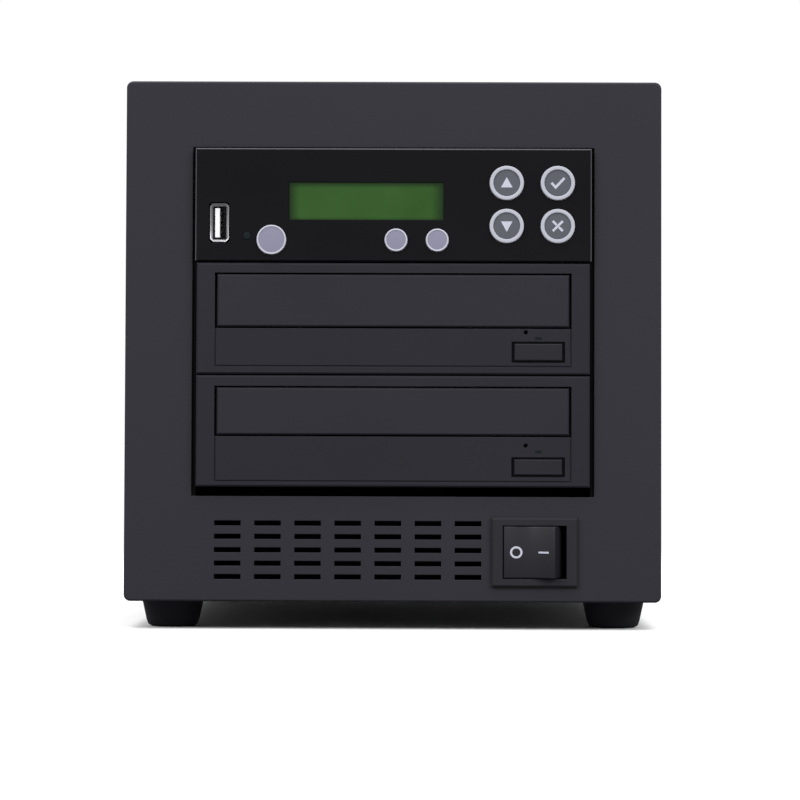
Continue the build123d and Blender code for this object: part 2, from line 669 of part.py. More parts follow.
def power_rocker():
    """Rocker on upright pins, shown switched off: left half pressed in, right end standing out."""
    skirt, end, toe = ROCKER_HALF_WIDTH, ROCKER_FACE_HALF_WIDTH, ROCKER_TOE_HALF_WIDTH
    ridge = -ROCKER_FACE_REACH
    profile = outline((-end, ridge - ROCKER_RISE), (0, ridge), (end, ridge - ROCKER_RISE),
                      (skirt, ROCKER_SKIRT), (toe, ROCKER_TOE), (-toe, ROCKER_TOE), (-skirt, ROCKER_SKIRT))
    body = along_z(profile, -ROCKER_HEIGHT / 2, ROCKER_HEIGHT / 2)
    pin = ROCKER_HEIGHT / 2 + ROCKER_PIN_LENGTH
    body += rod_z(0, 0, ROCKER_PIN_RADIUS, -pin, pin)
    return Pos(SWITCH_X, ROCKER_PIVOT_Y, SWITCH_Z) * Rot(0, 0, -ROCKER_HALF_TILT) * body


# ---------------------------------------------------------------- power supply, inlet and fan

def power_supply():
    x = (SUPPLY_X - SUPPLY_WIDTH / 2, SUPPLY_X + SUPPLY_WIDTH / 2)
    z = (FLOOR_TOP, SUPPLY_TOP)
    y = (SUPPLY_FRONT, SUPPLY_REAR)
    s = DRIVE_SHEET
    body = span(x, y, z) - span((x[0] + s, x[1] - s), (y[0] + s, y[1] - s), (z[0] + s, z[1] - s))
    wall = (y[1] - s, y[1])
    cuts = [block(INLET_X, INLET_WIDTH + 2 * INLET_FIT, wall, INLET_Z, INLET_HEIGHT + 2 * INLET_FIT)]
    first = SUPPLY_X + SUPPLY_VENT_X - (SUPPLY_VENTS - 1) * SUPPLY_VENT_PITCH / 2
    for i in range(SUPPLY_VENTS):
        vent_x = first + i * SUPPLY_VENT_PITCH
        cuts.append(block(vent_x, SUPPLY_VENT_WIDTH, wall, INLET_Z, SUPPLY_VENT_HEIGHT))
    return body - cuts


def mains_inlet():
    back = REAR_PANEL_BACK + INLET_FLANGE
    body = block(INLET_X, INLET_FLANGE_WIDTH, (REAR_PANEL_BACK, back), INLET_Z, INLET_FLANGE_HEIGHT)
    body = chamfer(body.edges().filter_by(Axis.Y), INLET_FLANGE)
    inside = (REAR_PANEL_BACK - INLET_LENGTH, REAR_PANEL_BACK)
    body += block(INLET_X, INLET_WIDTH, inside, INLET_Z, INLET_HEIGHT)
    w, h, c = INLET_SOCKET_WIDTH / 2, INLET_SOCKET_HEIGHT / 2, INLET_SOCKET_CHAMFER
    socket = outline((-w, -h), (w, -h), (w, h - c), (w - c, h), (c - w, h), (-w, h - c))
    floor = back - INLET_SOCKET_DEPTH
    body -= along_y(Pos(INLET_X, INLET_Z) * socket, floor, back)
    for i, up in ((-1, INLET_LIVE_UP), (0, INLET_EARTH_UP), (1, INLET_LIVE_UP)):
        body += block(INLET_X + i * INLET_PIN_PITCH, INLET_PIN_WIDTH, (floor, floor + INLET_PIN_LENGTH),
                      INLET_Z + up, INLET_PIN_HEIGHT)
    return body


def fan_frame():
    body = along_y(Pos(FAN_X, FAN_Z) * RectangleRounded(FAN_SIZE, FAN_SIZE, FAN_CORNER), FAN_FRONT, FAN_BACK)
    body -= rod_y(FAN_X, FAN_Z, FAN_BORE_RADIUS, FAN_FRONT, FAN_BACK)
    mount_front = FAN_BACK - FAN_MOUNT_DEPTH
    body += rod_y(FAN_X, FAN_Z, FAN_MOUNT_RADIUS, mount_front, FAN_BACK)
    strut = Rectangle(FAN_BORE_RADIUS - FAN_CORNER / 2, FAN_STRUT_WIDTH)
    for i in range(FAN_STRUTS):
        turned = Rot(0, 0, 45 + i * 360 / FAN_STRUTS) * Pos((FAN_BORE_RADIUS + FAN_CORNER) / 2, 0) * strut
        body += along_y(Pos(FAN_X, FAN_Z) * turned, mount_front, FAN_BACK)
    pin_front = mount_front - FAN_RUN_GAP - FAN_HUB_LENGTH + FAN_HUB_WALL
    return body + rod_y(FAN_X, FAN_Z, FAN_PIN_RADIUS, pin_front, mount_front)


def fan_blade():
    """One twisted blade, flat ends at the hub and at the tip, pointing along +X about the Y axis."""
    sections = []
    root_radius = FAN_HUB_RADIUS - FAN_HUB_WALL / 2
    for radius, pitch in ((root_radius, FAN_ROOT_PITCH), (FAN_TIP_RADIUS, FAN_TIP_PITCH)):
        plane = Plane(origin=(radius, 0, 0), x_dir=(0, 1, 0), z_dir=(1, 0, 0))
        sections.append(plane * Rot(0, 0, pitch) * Rectangle(FAN_BLADE_CHORD, FAN_BLADE))
    return loft(sections, ruled=True)


def fan_rotor():
    back = FAN_BACK - FAN_MOUNT_DEPTH - FAN_RUN_GAP
    front = back - FAN_HUB_LENGTH
    hub = rod_y(0, 0, FAN_HUB_RADIUS, front, back)
    hub -= rod_y(0, 0, FAN_HUB_RADIUS - FAN_HUB_WALL, front + FAN_HUB_WALL, back)
    bearing = rod_y(0, 0, FAN_PIN_RADIUS + FAN_HUB_WALL, front + FAN_HUB_WALL, back)
    hub = hub + bearing - rod_y(0, 0, FAN_PIN_RADIUS + PIN_FIT, front + FAN_HUB_WALL, back)
    blade = Pos(0, (front + back) / 2, 0) * fan_blade()
    for i in range(FAN_BLADES):
        hub += Rot(0, i * 360 / FAN_BLADES, 0) * blade
    return Pos(FAN_X, 0, FAN_Z) * hub


# ---------------------------------------------------------------- optical drives

def drive_bezel(bottom, face):
    """Moulded front with the tray's opening, the eject opening and the fine outline grooves."""
    top = bottom + BEZEL_HEIGHT
    half = BEZEL_WIDTH / 2
    body = span((-half, half), (FACE, BEZEL_BACK), (bottom, top))
    body = chamfer(body.edges().group_by(Axis.Y)[0], BEZEL_CORNER)
    body -= span((BEZEL_RIM - half, half - BEZEL_RIM), (FACE + BEZEL_WALL, BEZEL_BACK),
                 (bottom + BEZEL_RIM, top - BEZEL_RIM))
    wall = (FACE, FACE + BEZEL_WALL)
    door = door_opening(bottom, face)
    door_half = DOOR_WIDTH / 2 + DOOR_SIDE_GAP
    eject = eject_span(bottom, face)
    eject_half = EJECT_WIDTH / 2 + EJECT_SIDE_GAP
    eject_x = (EJECT_X - eject_half, EJECT_X + eject_half)
    cuts = [span((-door_half, door_half), wall, door)]
    cuts.append(span(eject_x, wall, (eject[0] - EJECT_GAP, eject[1] + EJECT_GAP)))
    cuts.append(rod_y(EMERGENCY_X, top - face["emergency_down"], EMERGENCY_RADIUS, *wall))
    cuts.append(block(LAMP_X, LAMP_WIDTH, (FACE, FACE + GROOVE_DEPTH), top - face["lamp_down"], LAMP_HEIGHT))
    groove = (FACE, FACE + GROOVE_DEPTH)
    low = bottom + face["groove_up"]
    for sign in (-1, 1):
        edge = sorted((sign * door_half, sign * (door_half - GROOVE_WIDTH)))
        cuts.append(span(edge, groove, (low, door[0])))
    cuts.append(span((-door_half, door_half), groove, (low, low + GROOVE_WIDTH)))
    return body - cuts


def door_opening(bottom, face):
    high = bottom + BEZEL_HEIGHT - face["door_top"]
    return high - face["door_opening"], high


def eject_span(bottom, face):
    high = bottom + BEZEL_HEIGHT - face["eject_top"]
    return high - face["eject_height"], high


def tray_door(bottom, face):
    low, high = door_opening(bottom, face)
    body = span((-DOOR_WIDTH / 2, DOOR_WIDTH / 2), (FACE, TRAY_FRONT), (low + DOOR_GAP, high - DOOR_GAP))
    return chamfer(body.edges().group_by(Axis.Y)[0], BEZEL_CORNER)


def eject_button(bottom, face):
    low, high = eject_span(bottom, face)
    flange_front = FACE + BEZEL_WALL + BUTTON_PLAY
    flange_back = flange_front + EJECT_FLANGE_THICKNESS
    half = EJECT_WIDTH / 2
    cap = span((EJECT_X - half, EJECT_X + half), (FACE - EJECT_PROUD, flange_front), (low, high))
    cap = chamfer(cap.edges().group_by(Axis.Y)[0], EJECT_PROUD / 2)
    wide = half + EJECT_SIDE_GAP + EJECT_FLANGE
    tall = EJECT_GAP + EJECT_FLANGE
    cap += span((EJECT_X - wide, EJECT_X + wide), (flange_front, flange_back), (low - tall, high + tall))
    stem_end = flange_back + EJECT_STEM_LENGTH
    return cap + rod_y(EJECT_X, (low + high) / 2, EJECT_STEM_RADIUS, flange_back, stem_end)


def drive_chassis(bottom):
    """Steel pan, open at the front and on top, with a cut-out for the sockets at the rear."""
    low = bottom + DRIVE_LIFT
    top = low + DRIVE_HEIGHT - DRIVE_SHEET
    half, s = DRIVE_WIDTH / 2, DRIVE_SHEET
    body = span((-half, half), (BEZEL_BACK, DRIVE_REAR), (low, top))
    body -= span((s - half, half - s), (BEZEL_BACK, DRIVE_REAR - s), (low + s, top))
    plug_low = bottom + BOARD_UP + BOARD_THICKNESS
    gap = PLUG_CUT_CLEARANCE
    cuts = []
    for x, width in ((DATA_PLUG_X, PLUG_WIDTH), (POWER_PLUG_X, POWER_PLUG_WIDTH)):
        cuts.append(block(x, width + 2 * gap, (DRIVE_REAR - s, DRIVE_REAR), plug_low + PLUG_HEIGHT / 2,
                          PLUG_HEIGHT + 2 * gap))
    body -= cuts
    board_half = DRIVE_WIDTH / 2 - BOARD_MARGIN - STANDOFF_INSET
    for sign in (-1, 1):
        for y in (BEZEL_BACK + 2 * STANDOFF_INSET, DRIVE_REAR - 3 * STANDOFF_INSET):
            body += standoff(sign * board_half, y, low + s, bottom + BOARD_UP)
    return body


def drive_lid(bottom):
    top = bottom + DRIVE_LIFT + DRIVE_HEIGHT
    half, s = DRIVE_WIDTH / 2, DRIVE_SHEET
    body = span((-half, half), (BEZEL_BACK, DRIVE_REAR), (top - s, top))
    for sign in (-1, 1):
        lip = sorted((sign * (half - s - SLIP), sign * (half - 2 * s - SLIP)))
        body += span(lip, (BEZEL_BACK, DRIVE_REAR - 2 * s), (top - s - LID_LIP, top - s))
    return body


def loader_profile(bottom):
    """Section of the moulded loader frame: floor, two walls, and a channel on each side for the tray."""
    wall_out = DRIVE_WIDTH / 2 - DRIVE_SHEET - SLIP
    wall_in = wall_out - LOADER_WALL
    low = bottom + DRIVE_LIFT + DRIVE_SHEET
    floor = bottom + LOADER_FLOOR_UP
    high = bottom + LOADER_HEIGHT
    ledge_top = bottom + TRAY_BOTTOM_UP - TRAY_SLIDE_GAP
    lip_low = bottom + TRAY_TOP_UP + TRAY_SLIDE_GAP
    side = TRAY_WIDTH / 2 + TRAY_SIDE_PLAY
    half = [(0, floor), (wall_in, floor), (wall_in, low), (wall_out, low), (wall_out, high),
            (side - GUIDE_WIDTH + TRAY_SIDE_PLAY, high), (side - GUIDE_WIDTH + TRAY_SIDE_PLAY, lip_low),
            (side, lip_low), (side, ledge_top), (side - GUIDE_WIDTH, ledge_top),
            (side - GUIDE_WIDTH, ledge_top - GUIDE_LIP), (side, ledge_top - GUIDE_LIP),
            (side, floor + LOADER_FLOOR), (0, floor + LOADER_FLOOR)]
    return half


def loader_frame(bottom):
    half = loader_profile(bottom)
    other = [(-x, z) for x, z in reversed(half)]
    ring = half + other[1:-1]
    body = along_y(outline(*ring), BEZEL_BACK, DRIVE_REAR - LOADER_REAR_GAP)
    floor = bottom + LOADER_FLOOR_UP
    half_opening = DECK_OPENING_HALF_WIDTH
    body -= span((-half_opening, half_opening), (DISC_Y - DECK_FRONT, DISC_Y + DECK_REAR),
                 (floor, floor + LOADER_FLOOR))
    shoulder = bottom + TRAY_BOTTOM_UP - BUTTON_PLAY
    body += rod_z(GEAR_X, GEAR_Y, GEAR_SHOULDER_RADIUS, floor + LOADER_FLOOR, shoulder)
    return body + rod_z(GEAR_X, GEAR_Y, GEAR_POST_RADIUS, shoulder, shoulder + GEAR_HEIGHT + BUTTON_PLAY)


def drive_board(bottom, face):
    low = bottom + BOARD_UP
    top = low + BOARD_THICKNESS
    half = DRIVE_WIDTH / 2 - BOARD_MARGIN
    eject = eject_span(bottom, face)
    can_front = (FACE + BEZEL_WALL + BUTTON_PLAY + EJECT_FLANGE_THICKNESS + EJECT_STEM_LENGTH + EJECT_TRAVEL
                 + BUTTON_PLAY)
    body = span((-half, half), (can_front, DRIVE_REAR - 2 * DRIVE_SHEET), (low, top))
    can_top = (eject[0] + eject[1]) / 2 + EJECT_STEM_RADIUS
    body += span((EJECT_X - SWITCH_CAN / 2, EJECT_X + SWITCH_CAN / 2), (can_front, can_front + SWITCH_CAN),
                 (top, can_top))
    plug_y, plug_z = (PLUG_REAR - PLUG_LENGTH, PLUG_REAR), top + PLUG_HEIGHT / 2
    body += block(DATA_PLUG_X, PLUG_WIDTH, plug_y, plug_z, PLUG_HEIGHT)
    body += block(POWER_PLUG_X, POWER_PLUG_WIDTH, plug_y, plug_z, PLUG_HEIGHT)
    return body + chips(FACE + DRIVE_CHIP_BEHIND, DRIVE_CHIP, top)


def gear_face():
    """Straight-flanked teeth about the origin, with a gap between two teeth on the -X side."""
    pitch_radius = GEAR_PITCH_RADIUS
    tip = pitch_radius + GEAR_TIP_FACTOR * GEAR_MODULE
    root = pitch_radius - GEAR_ROOT_FACTOR * GEAR_MODULE
    slope = math.tan(math.radians(GEAR_PRESSURE_ANGLE))
    half_pitch = math.pi * GEAR_MODULE / 4 - GEAR_BACKLASH / 2
    half_tip = math.atan2(half_pitch - GEAR_TIP_FACTOR * GEAR_MODULE * slope, tip)
    half_root = math.atan2(half_pitch + GEAR_ROOT_FACTOR * GEAR_MODULE * slope / 2, root)
    points = []
    for i in range(GEAR_TEETH):
        middle = math.pi + (i + 0.5) * 2 * math.pi / GEAR_TEETH
        for radius, turn in ((root, -half_root), (tip, -half_tip), (tip, half_tip), (root, half_root)):
            points.append((radius * math.cos(middle + turn), radius * math.sin(middle + turn)))
    return outline(*points)


def loading_gear(bottom):
    low = bottom + TRAY_BOTTOM_UP
    face = gear_face() - Circle(GEAR_POST_RADIUS + PIN_FIT)
    return along_z(Pos(GEAR_X, GEAR_Y) * face, low, low + GEAR_HEIGHT)


def tray_rack(bottom):
    """Toothed bar under the tray, its teeth towards the loading gear."""
    low = bottom + TRAY_BOTTOM_UP
    slope = math.tan(math.radians(GEAR_PRESSURE_ANGLE))
    reach = GEAR_TIP_FACTOR * GEAR_MODULE
    depth = GEAR_ROOT_FACTOR * GEAR_MODULE
    half = math.pi * GEAR_MODULE / 4 - GEAR_BACKLASH / 2
    count = int(TRAY_STROKE / RACK_PITCH) + 3
    root_x, tip_x = RACK_PITCH_X - depth, RACK_PITCH_X + reach
    start = GEAR_Y - RACK_PITCH
    points = [(root_x - RACK_BACK, start - RACK_PITCH / 2)]
    for i in range(count):
        y = start + i * RACK_PITCH
        points += [(root_x, y - half - depth * slope), (tip_x, y - half + reach * slope),
                   (tip_x, y + half - reach * slope), (root_x, y + half + depth * slope)]
    end = start + (count - 0.5) * RACK_PITCH
    points.insert(1, (root_x, start - RACK_PITCH / 2))
    points += [(root_x, end), (root_x - RACK_BACK, end)]
    return along_z(outline(*points), low, bottom + TRAY_PLATE_UP)


def disc_tray(bottom):
    """Tray with two stepped disc wells, the laser's slot, side skirts and the rack."""
    half = TRAY_WIDTH / 2
    low, plate, top = bottom + TRAY_BOTTOM_UP, bottom + TRAY_PLATE_UP, bottom + TRAY_TOP_UP
    body = span((-half, half), (TRAY_FRONT, TRAY_REAR), (plate, top))
    for sign in (-1, 1):
        skirt = sorted((sign * half, sign * (half - TRAY_SKIRT)))
        body += span(skirt, (TRAY_FRONT, TRAY_REAR), (low, plate))
    body += tray_rack(bottom)
    floor = top - DISC_WELL_DEPTH
    cuts = [rod_z(0, DISC_Y, DISC_WELL_RADIUS, floor, top),
            rod_z(0, DISC_Y, SMALL_WELL_RADIUS, floor - SMALL_WELL_DEPTH, floor)]
    slot = Rot(0, 0, 90) * SlotCenterToCenter(LASER_SLOT_LENGTH, 2 * LASER_SLOT_RADIUS)
    cuts.append(along_z(Pos(0, DISC_Y + LASER_SLOT_LENGTH / 2) * slot, plate, top))
    for sign in (-1, 1):
        cuts.append(rod_z(sign * DISC_WELL_RADIUS, DISC_Y, FINGER_NOTCH_RADIUS, floor, top)
                    & span((-half + TRAY_SKIRT, half - TRAY_SKIRT), (TRAY_FRONT, TRAY_REAR), (floor, top)))
    return body - cuts


def traverse(bottom):
    """Steel deck under the loader floor, with the spindle motor and the two guide rods."""
    top = bottom + LOADER_FLOOR_UP
    front, rear = DISC_Y - DECK_FRONT - DECK_OVERLAP, DISC_Y + DECK_REAR + DECK_OVERLAP
    body = span((-DECK_HALF_WIDTH, DECK_HALF_WIDTH), (front, rear), (top - DECK_SHEET, top))
    body -= span((2 * ROD_BLOCK_HALF_WIDTH - ROD_HALF_SPACING, ROD_HALF_SPACING - 2 * ROD_BLOCK_HALF_WIDTH),
                 (DISC_Y + ROD_START, DISC_Y + ROD_END), (top - DECK_SHEET, top))
    body += rod_z(0, DISC_Y, MOTOR_RADIUS, top, top + MOTOR_HEIGHT)
    body += rod_z(0, DISC_Y, SPINDLE_RADIUS, top + MOTOR_HEIGHT, turntable_top(bottom) - SPINDLE_RADIUS)
    rod_z_level = bottom + ROD_UP
    for sign in (-1, 1):
        x = sign * ROD_HALF_SPACING
        body += rod_y(x, rod_z_level, ROD_RADIUS, DISC_Y + ROD_START, DISC_Y + ROD_END)
        for y in (DISC_Y + ROD_START, DISC_Y + ROD_END - ROD_BLOCK):
            body += span((x - ROD_BLOCK_HALF_WIDTH, x + ROD_BLOCK_HALF_WIDTH), (y, y + ROD_BLOCK),
                         (top, rod_z_level + ROD_RADIUS))
    return body


def turntable_top(bottom):
    return (bottom + LOADER_FLOOR_UP + MOTOR_HEIGHT + TURNTABLE_LIFT + TURNTABLE_BOSS + TURNTABLE_THICKNESS
            + TURNTABLE_HUB_HEIGHT)


def turntable(bottom):
    boss = bottom + LOADER_FLOOR_UP + MOTOR_HEIGHT + TURNTABLE_LIFT
    plate = boss + TURNTABLE_BOSS
    hub = plate + TURNTABLE_THICKNESS
    top = hub + TURNTABLE_HUB_HEIGHT
    profile = outline((0, boss), (TURNTABLE_BOSS_RADIUS, boss), (TURNTABLE_BOSS_RADIUS, plate),
                      (TURNTABLE_RADIUS, plate), (TURNTABLE_RADIUS, hub), (TURNTABLE_HUB_RADIUS, hub),
                      (TURNTABLE_HUB_TOP_RADIUS, top), (0, top))
    body = revolve(Plane.XZ * profile, Axis.Z)
    bore_top = top - SPINDLE_RADIUS + TURNTABLE_LIFT
    return Pos(0, DISC_Y, 0) * (body - rod_z(0, 0, SPINDLE_RADIUS + PIN_FIT, boss, bore_top))


def laser_sled(bottom):
    level = bottom + ROD_UP
    front = DISC_Y + ROD_START + ROD_BLOCK + SLED_GAP
    rear = front + SLED_LENGTH
    top = level + SLED_ABOVE_ROD
    body = span((-SLED_HALF_WIDTH, SLED_HALF_WIDTH), (front, rear), (level - SLED_BELOW_ROD, top))
    body += rod_z(0, (front + rear) / 2, LENS_RADIUS, top, top + LENS_RISE)
    bore = ROD_RADIUS + ROD_FIT
    return body - [rod_y(sign * ROD_HALF_SPACING, level, bore, front, rear) for sign in (-1, 1)]


# ---------------------------------------------------------------- control unit

def usb_outline(extra):
    return Pos(USB_X, CONTROL_BOTTOM + USB_UP) * Rectangle(USB_WIDTH + 2 * extra, USB_HEIGHT + 2 * extra)


def usb_corner(extra):
    """The flared mouth of the socket, with its corners cut off."""
    w, h = USB_WIDTH / 2 + extra, USB_HEIGHT / 2 + extra
    c = USB_FLARE
    face = outline((c - w, -h), (w - c, -h), (w, c - h), (w, h - c),
                   (w - c, h), (c - w, h), (-w, h - c), (-w, c - h))
    return Pos(USB_X, CONTROL_BOTTOM + USB_UP) * face


def panel_openings(y0, y1):
    """Cuts for the display, the socket and the lamp, through the overlay or the housing wall."""
    return [block(DISPLAY_X, DISPLAY_WIDTH + 2 * DISPLAY_FIT, (y0, y1), CONTROL_BOTTOM + DISPLAY_UP,
                  DISPLAY_HEIGHT + 2 * DISPLAY_FIT),
            along_y(usb_corner(USB_FLARE + USB_CLEARANCE), y0, y1),
            rod_y(USB_LAMP_X, CONTROL_BOTTOM + USB_LAMP_UP, USB_LAMP_RADIUS + USB_LAMP_FIT, y0, y1)]


def control_overlay():
    half = BEZEL_WIDTH / 2 + OVERLAY_OVERHANG
    body = span((-half, half), (FACE, OVERLAY_BACK), (CONTROL_BOTTOM, CONTROL_TOP))
    body = chamfer(body.edges().group_by(Axis.Y)[0], OVERLAY_EDGE)
    for x, up, radius in KEYS.values():
        body -= rod_y(x, CONTROL_BOTTOM + up, radius + KEY_GAP, FACE, OVERLAY_BACK)
    return body - panel_openings(FACE, OVERLAY_BACK)


def panel_board_span():
    half = BEZEL_WIDTH / 2 - HOUSING_RIM - PANEL_BOARD_SIDE
    return (-half, half), (CONTROL_BOTTOM + HOUSING_RIM + PANEL_BOARD_EDGE,
                           CONTROL_TOP - HOUSING_RIM - PANEL_BOARD_EDGE)


def control_housing():
    """Moulded bay front behind the overlay: wall, rim, skirt that enters the shelf, and board posts."""
    half = BEZEL_WIDTH / 2
    body = span((-half, half), (OVERLAY_BACK, BEZEL_BACK), (CONTROL_BOTTOM, CONTROL_TOP))
    skirt_half = DRIVE_WIDTH / 2 - SHEET - HOUSING_SIDE_CLEARANCE
    low, high = SHELF_FLOOR + HOUSING_SIDE_CLEARANCE, CONTROL_TOP - HOUSING_RIM
    body += span((-skirt_half, skirt_half), (BEZEL_BACK, FACE + HOUSING_DEPTH), (low, high))
    body -= span((HOUSING_RIM - skirt_half, skirt_half - HOUSING_RIM), (HOUSING_BACK, FACE + HOUSING_DEPTH),
                 (low + HOUSING_RIM, high - HOUSING_RIM))
    body -= panel_openings(OVERLAY_BACK, HOUSING_BACK)
    for x, up, radius in KEYS.values():
        side = 2 * (radius + KEY_GAP + KEY_FLANGE + KEY_POCKET_GAP)
        body -= block(x, side, (OVERLAY_BACK, HOUSING_BACK), CONTROL_BOTTOM + up, side)
    board_x, board_z = panel_board_span()
    for x in (board_x[0] + POST_INSET, board_x[1] - POST_INSET):
        for z in (board_z[0] + POST_INSET, board_z[1] - POST_INSET):
            body += block(x, POST_SIZE, (HOUSING_BACK, PANEL_BOARD_FRONT), z, POST_SIZE)
    return body


def display_glass():
    """Window of the display: it fills the opening and reaches back to the display."""
    y = (FACE + DISPLAY_SETBACK, HOUSING_BACK)
    return block(DISPLAY_X, DISPLAY_WIDTH, y, CONTROL_BOTTOM + DISPLAY_UP, DISPLAY_HEIGHT)


def display_board():
    """Circuit board with the display module and one tall push switch behind each key."""
    board_x, board_z = panel_board_span()
    body = span(board_x, (PANEL_BOARD_FRONT, PANEL_BOARD_BACK), board_z)
    body += block(DISPLAY_X, DISPLAY_WIDTH + 2 * DISPLAY_FRAME_SIDE, (HOUSING_BACK, PANEL_BOARD_FRONT),
                  CONTROL_BOTTOM + DISPLAY_UP, DISPLAY_HEIGHT + 2 * DISPLAY_FRAME_TOP)
    plunger_front = (OVERLAY_BACK + BUTTON_PLAY + KEY_FLANGE_THICKNESS + KEY_STEM_LENGTH + KEY_TRAVEL
                     + BUTTON_PLAY)
    can_front = PANEL_BOARD_FRONT - KEY_SWITCH_BODY
    for x, up, radius in KEYS.values():
        z = CONTROL_BOTTOM + up
        body += block(x, KEY_SWITCH_SIZE, (can_front, PANEL_BOARD_FRONT), z, KEY_SWITCH_SIZE)
        body += block(x, KEY_PLUNGER_SIZE, (plunger_front, can_front), z, KEY_PLUNGER_SIZE)
    body += block(RIBBON_X, RIBBON_WIDTH, (PANEL_BOARD_BACK, PANEL_BOARD_BACK + PLUG_HEIGHT),
                  CONTROL_BOTTOM + DISPLAY_UP, PLUG_HEIGHT)
    return body


def key(x, up, radius):
    """Round key: raised rim, shallow dish, square flange that keeps it upright, stem to its switch."""
    front = FACE - KEY_PROUD
    flange_front = OVERLAY_BACK + BUTTON_PLAY
    flange_back = flange_front + KEY_FLANGE_THICKNESS
    dish = radius - KEY_RIM
    wide = 2 * (radius + KEY_GAP + KEY_FLANGE)
    profile = outline((0, front + KEY_DISH), (dish, front + KEY_DISH), (dish + KEY_DISH, front),
                      (radius, front), (radius, flange_front), (0, flange_front))
    body = revolve(profile, Axis.Y) + block(0, wide, (flange_front, flange_back), 0, wide)
    body += block(0, KEY_STEM_SIZE, (flange_back, flange_back + KEY_STEM_LENGTH), 0, KEY_STEM_SIZE)
    return Pos(x, 0, CONTROL_BOTTOM + up) * body


def usb_port():
    """Socket shell on edge, its tongue nearer the left side."""
    z = CONTROL_BOTTOM + USB_UP
    front = FACE + USB_SETBACK
    body = along_y(usb_outline(0), front, PANEL_BOARD_FRONT)
    body += along_y(usb_corner(USB_FLARE), front, front + USB_FLARE_DEPTH)
    body -= along_y(usb_outline(-USB_SHELL), front, front + USB_CAVITY)
    tongue_left = USB_X - USB_WIDTH / 2 + USB_SHELL + USB_TONGUE_GAP
    body += span((tongue_left, tongue_left + USB_TONGUE), (front + USB_TONGUE_SETBACK, front + USB_CAVITY),
                 (z - USB_TONGUE_HEIGHT / 2, z + USB_TONGUE_HEIGHT / 2))
    return body


def usb_lamp():
    return rod_y(USB_LAMP_X, CONTROL_BOTTOM + USB_LAMP_UP, USB_LAMP_RADIUS, FACE - USB_LAMP_PROUD,
                 PANEL_BOARD_FRONT)


def standoff_places():
    half = CONTROLLER_WIDTH / 2 - STANDOFF_INSET
    rows = (CONTROLLER_FRONT + STANDOFF_INSET, CONTROLLER_REAR - STANDOFF_INSET)
    return [(sign * half, y) for sign in (-1, 1) for y in rows]


def control_shelf():
    """Steel tray of the top bay, screwed between the brackets like a drive."""
    half = DRIVE_WIDTH / 2
    y = (BEZEL_BACK, BEZEL_BACK + SHELF_LENGTH)
    body = span((-half, half), y, (CONTROL_BOTTOM, SHELF_FLOOR + SHELF_WALL))
    body -= span((SHEET - half, half - SHEET), y, (SHELF_FLOOR, SHELF_FLOOR + SHELF_WALL))
    return body + [standoff(x, y, SHELF_FLOOR, CONTROLLER_Z) for x, y in standoff_places()]


def controller_board():
    half = CONTROLLER_WIDTH / 2
    top = CONTROLLER_Z + BOARD_THICKNESS
    body = span((-half, half), (CONTROLLER_FRONT, CONTROLLER_REAR), (CONTROLLER_Z, top))
    rear = (CONTROLLER_REAR - PLUG_LENGTH, CONTROLLER_REAR)
    body += block(DATA_PLUG_X, PLUG_WIDTH, rear, top + PLUG_HEIGHT, 2 * PLUG_HEIGHT)
    body += block(POWER_PLUG_X, POWER_PLUG_WIDTH, rear, top + PLUG_HEIGHT, 2 * PLUG_HEIGHT)
    body += block(RIBBON_X, RIBBON_WIDTH, (CONTROLLER_FRONT, CONTROLLER_FRONT + PLUG_HEIGHT),
                  top + PLUG_HEIGHT / 2, PLUG_HEIGHT)
    return body + chips(CONTROLLER_FRONT + CONTROLLER_CHIP_BEHIND, CONTROLLER_CHIP, top)


# ---------------------------------------------------------------- cables inside the case

def plug_level(bottom):
    return bottom + BOARD_UP + BOARD_THICKNESS + PLUG_HEIGHT / 2


def data_cables():
    """From the stacked sockets of the controller board, down behind the drives and into each of them."""
    top = CONTROLLER_Z + BOARD_THICKNESS
    cables = []
    for i, bottom in enumerate((BEZEL_1_BOTTOM, BEZEL_2_BOTTOM)):
        back = PLUG_REAR + CABLE_BACK_RUN + i * CABLE_STEP
        start = top + PLUG_HEIGHT / 2 + i * PLUG_HEIGHT
        points = [(CONTROLLER_REAR, start), (back, start), (back, plug_level(bottom)),
                  (PLUG_REAR, plug_level(bottom))]
        cables.append(flat_cable(points, DATA_PLUG_X, CABLE_WIDTH, CABLE_THICKNESS))
    return Part() + cables


def power_cables():
    """Up from the power supply's lid to both drives and to the controller board."""
    ends = [(PLUG_REAR, plug_level(BEZEL_2_BOTTOM)), (PLUG_REAR, plug_level(BEZEL_1_BOTTOM)),
            (CONTROLLER_REAR, CONTROLLER_Z + BOARD_THICKNESS + PLUG_HEIGHT)]
    cables = []
    for i, (end, level) in enumerate(ends):
        back = PLUG_REAR + CABLE_BACK_RUN + i * CABLE_STEP
        points = [(back, SUPPLY_TOP), (back, level), (end, level)]
        cables.append(flat_cable(points, POWER_PLUG_X, CABLE_WIDTH, CABLE_THICKNESS))
    return Part() + cables


def panel_cable():
    """Ribbon from the display board down to the controller board."""
    high = CONTROL_BOTTOM + DISPLAY_UP
    low = CONTROLLER_Z + BOARD_THICKNESS + PLUG_HEIGHT / 2
    front, rear = PANEL_BOARD_BACK + PLUG_HEIGHT, CONTROLLER_FRONT
    points = [(front, high), ((front + rear) / 2, high), ((front + rear) / 2, low), (rear, low)]
    return flat_cable(points, RIBBON_X, RIBBON_WIDTH, RIBBON_THICKNESS)


# ---------------------------------------------------------------- all the pieces

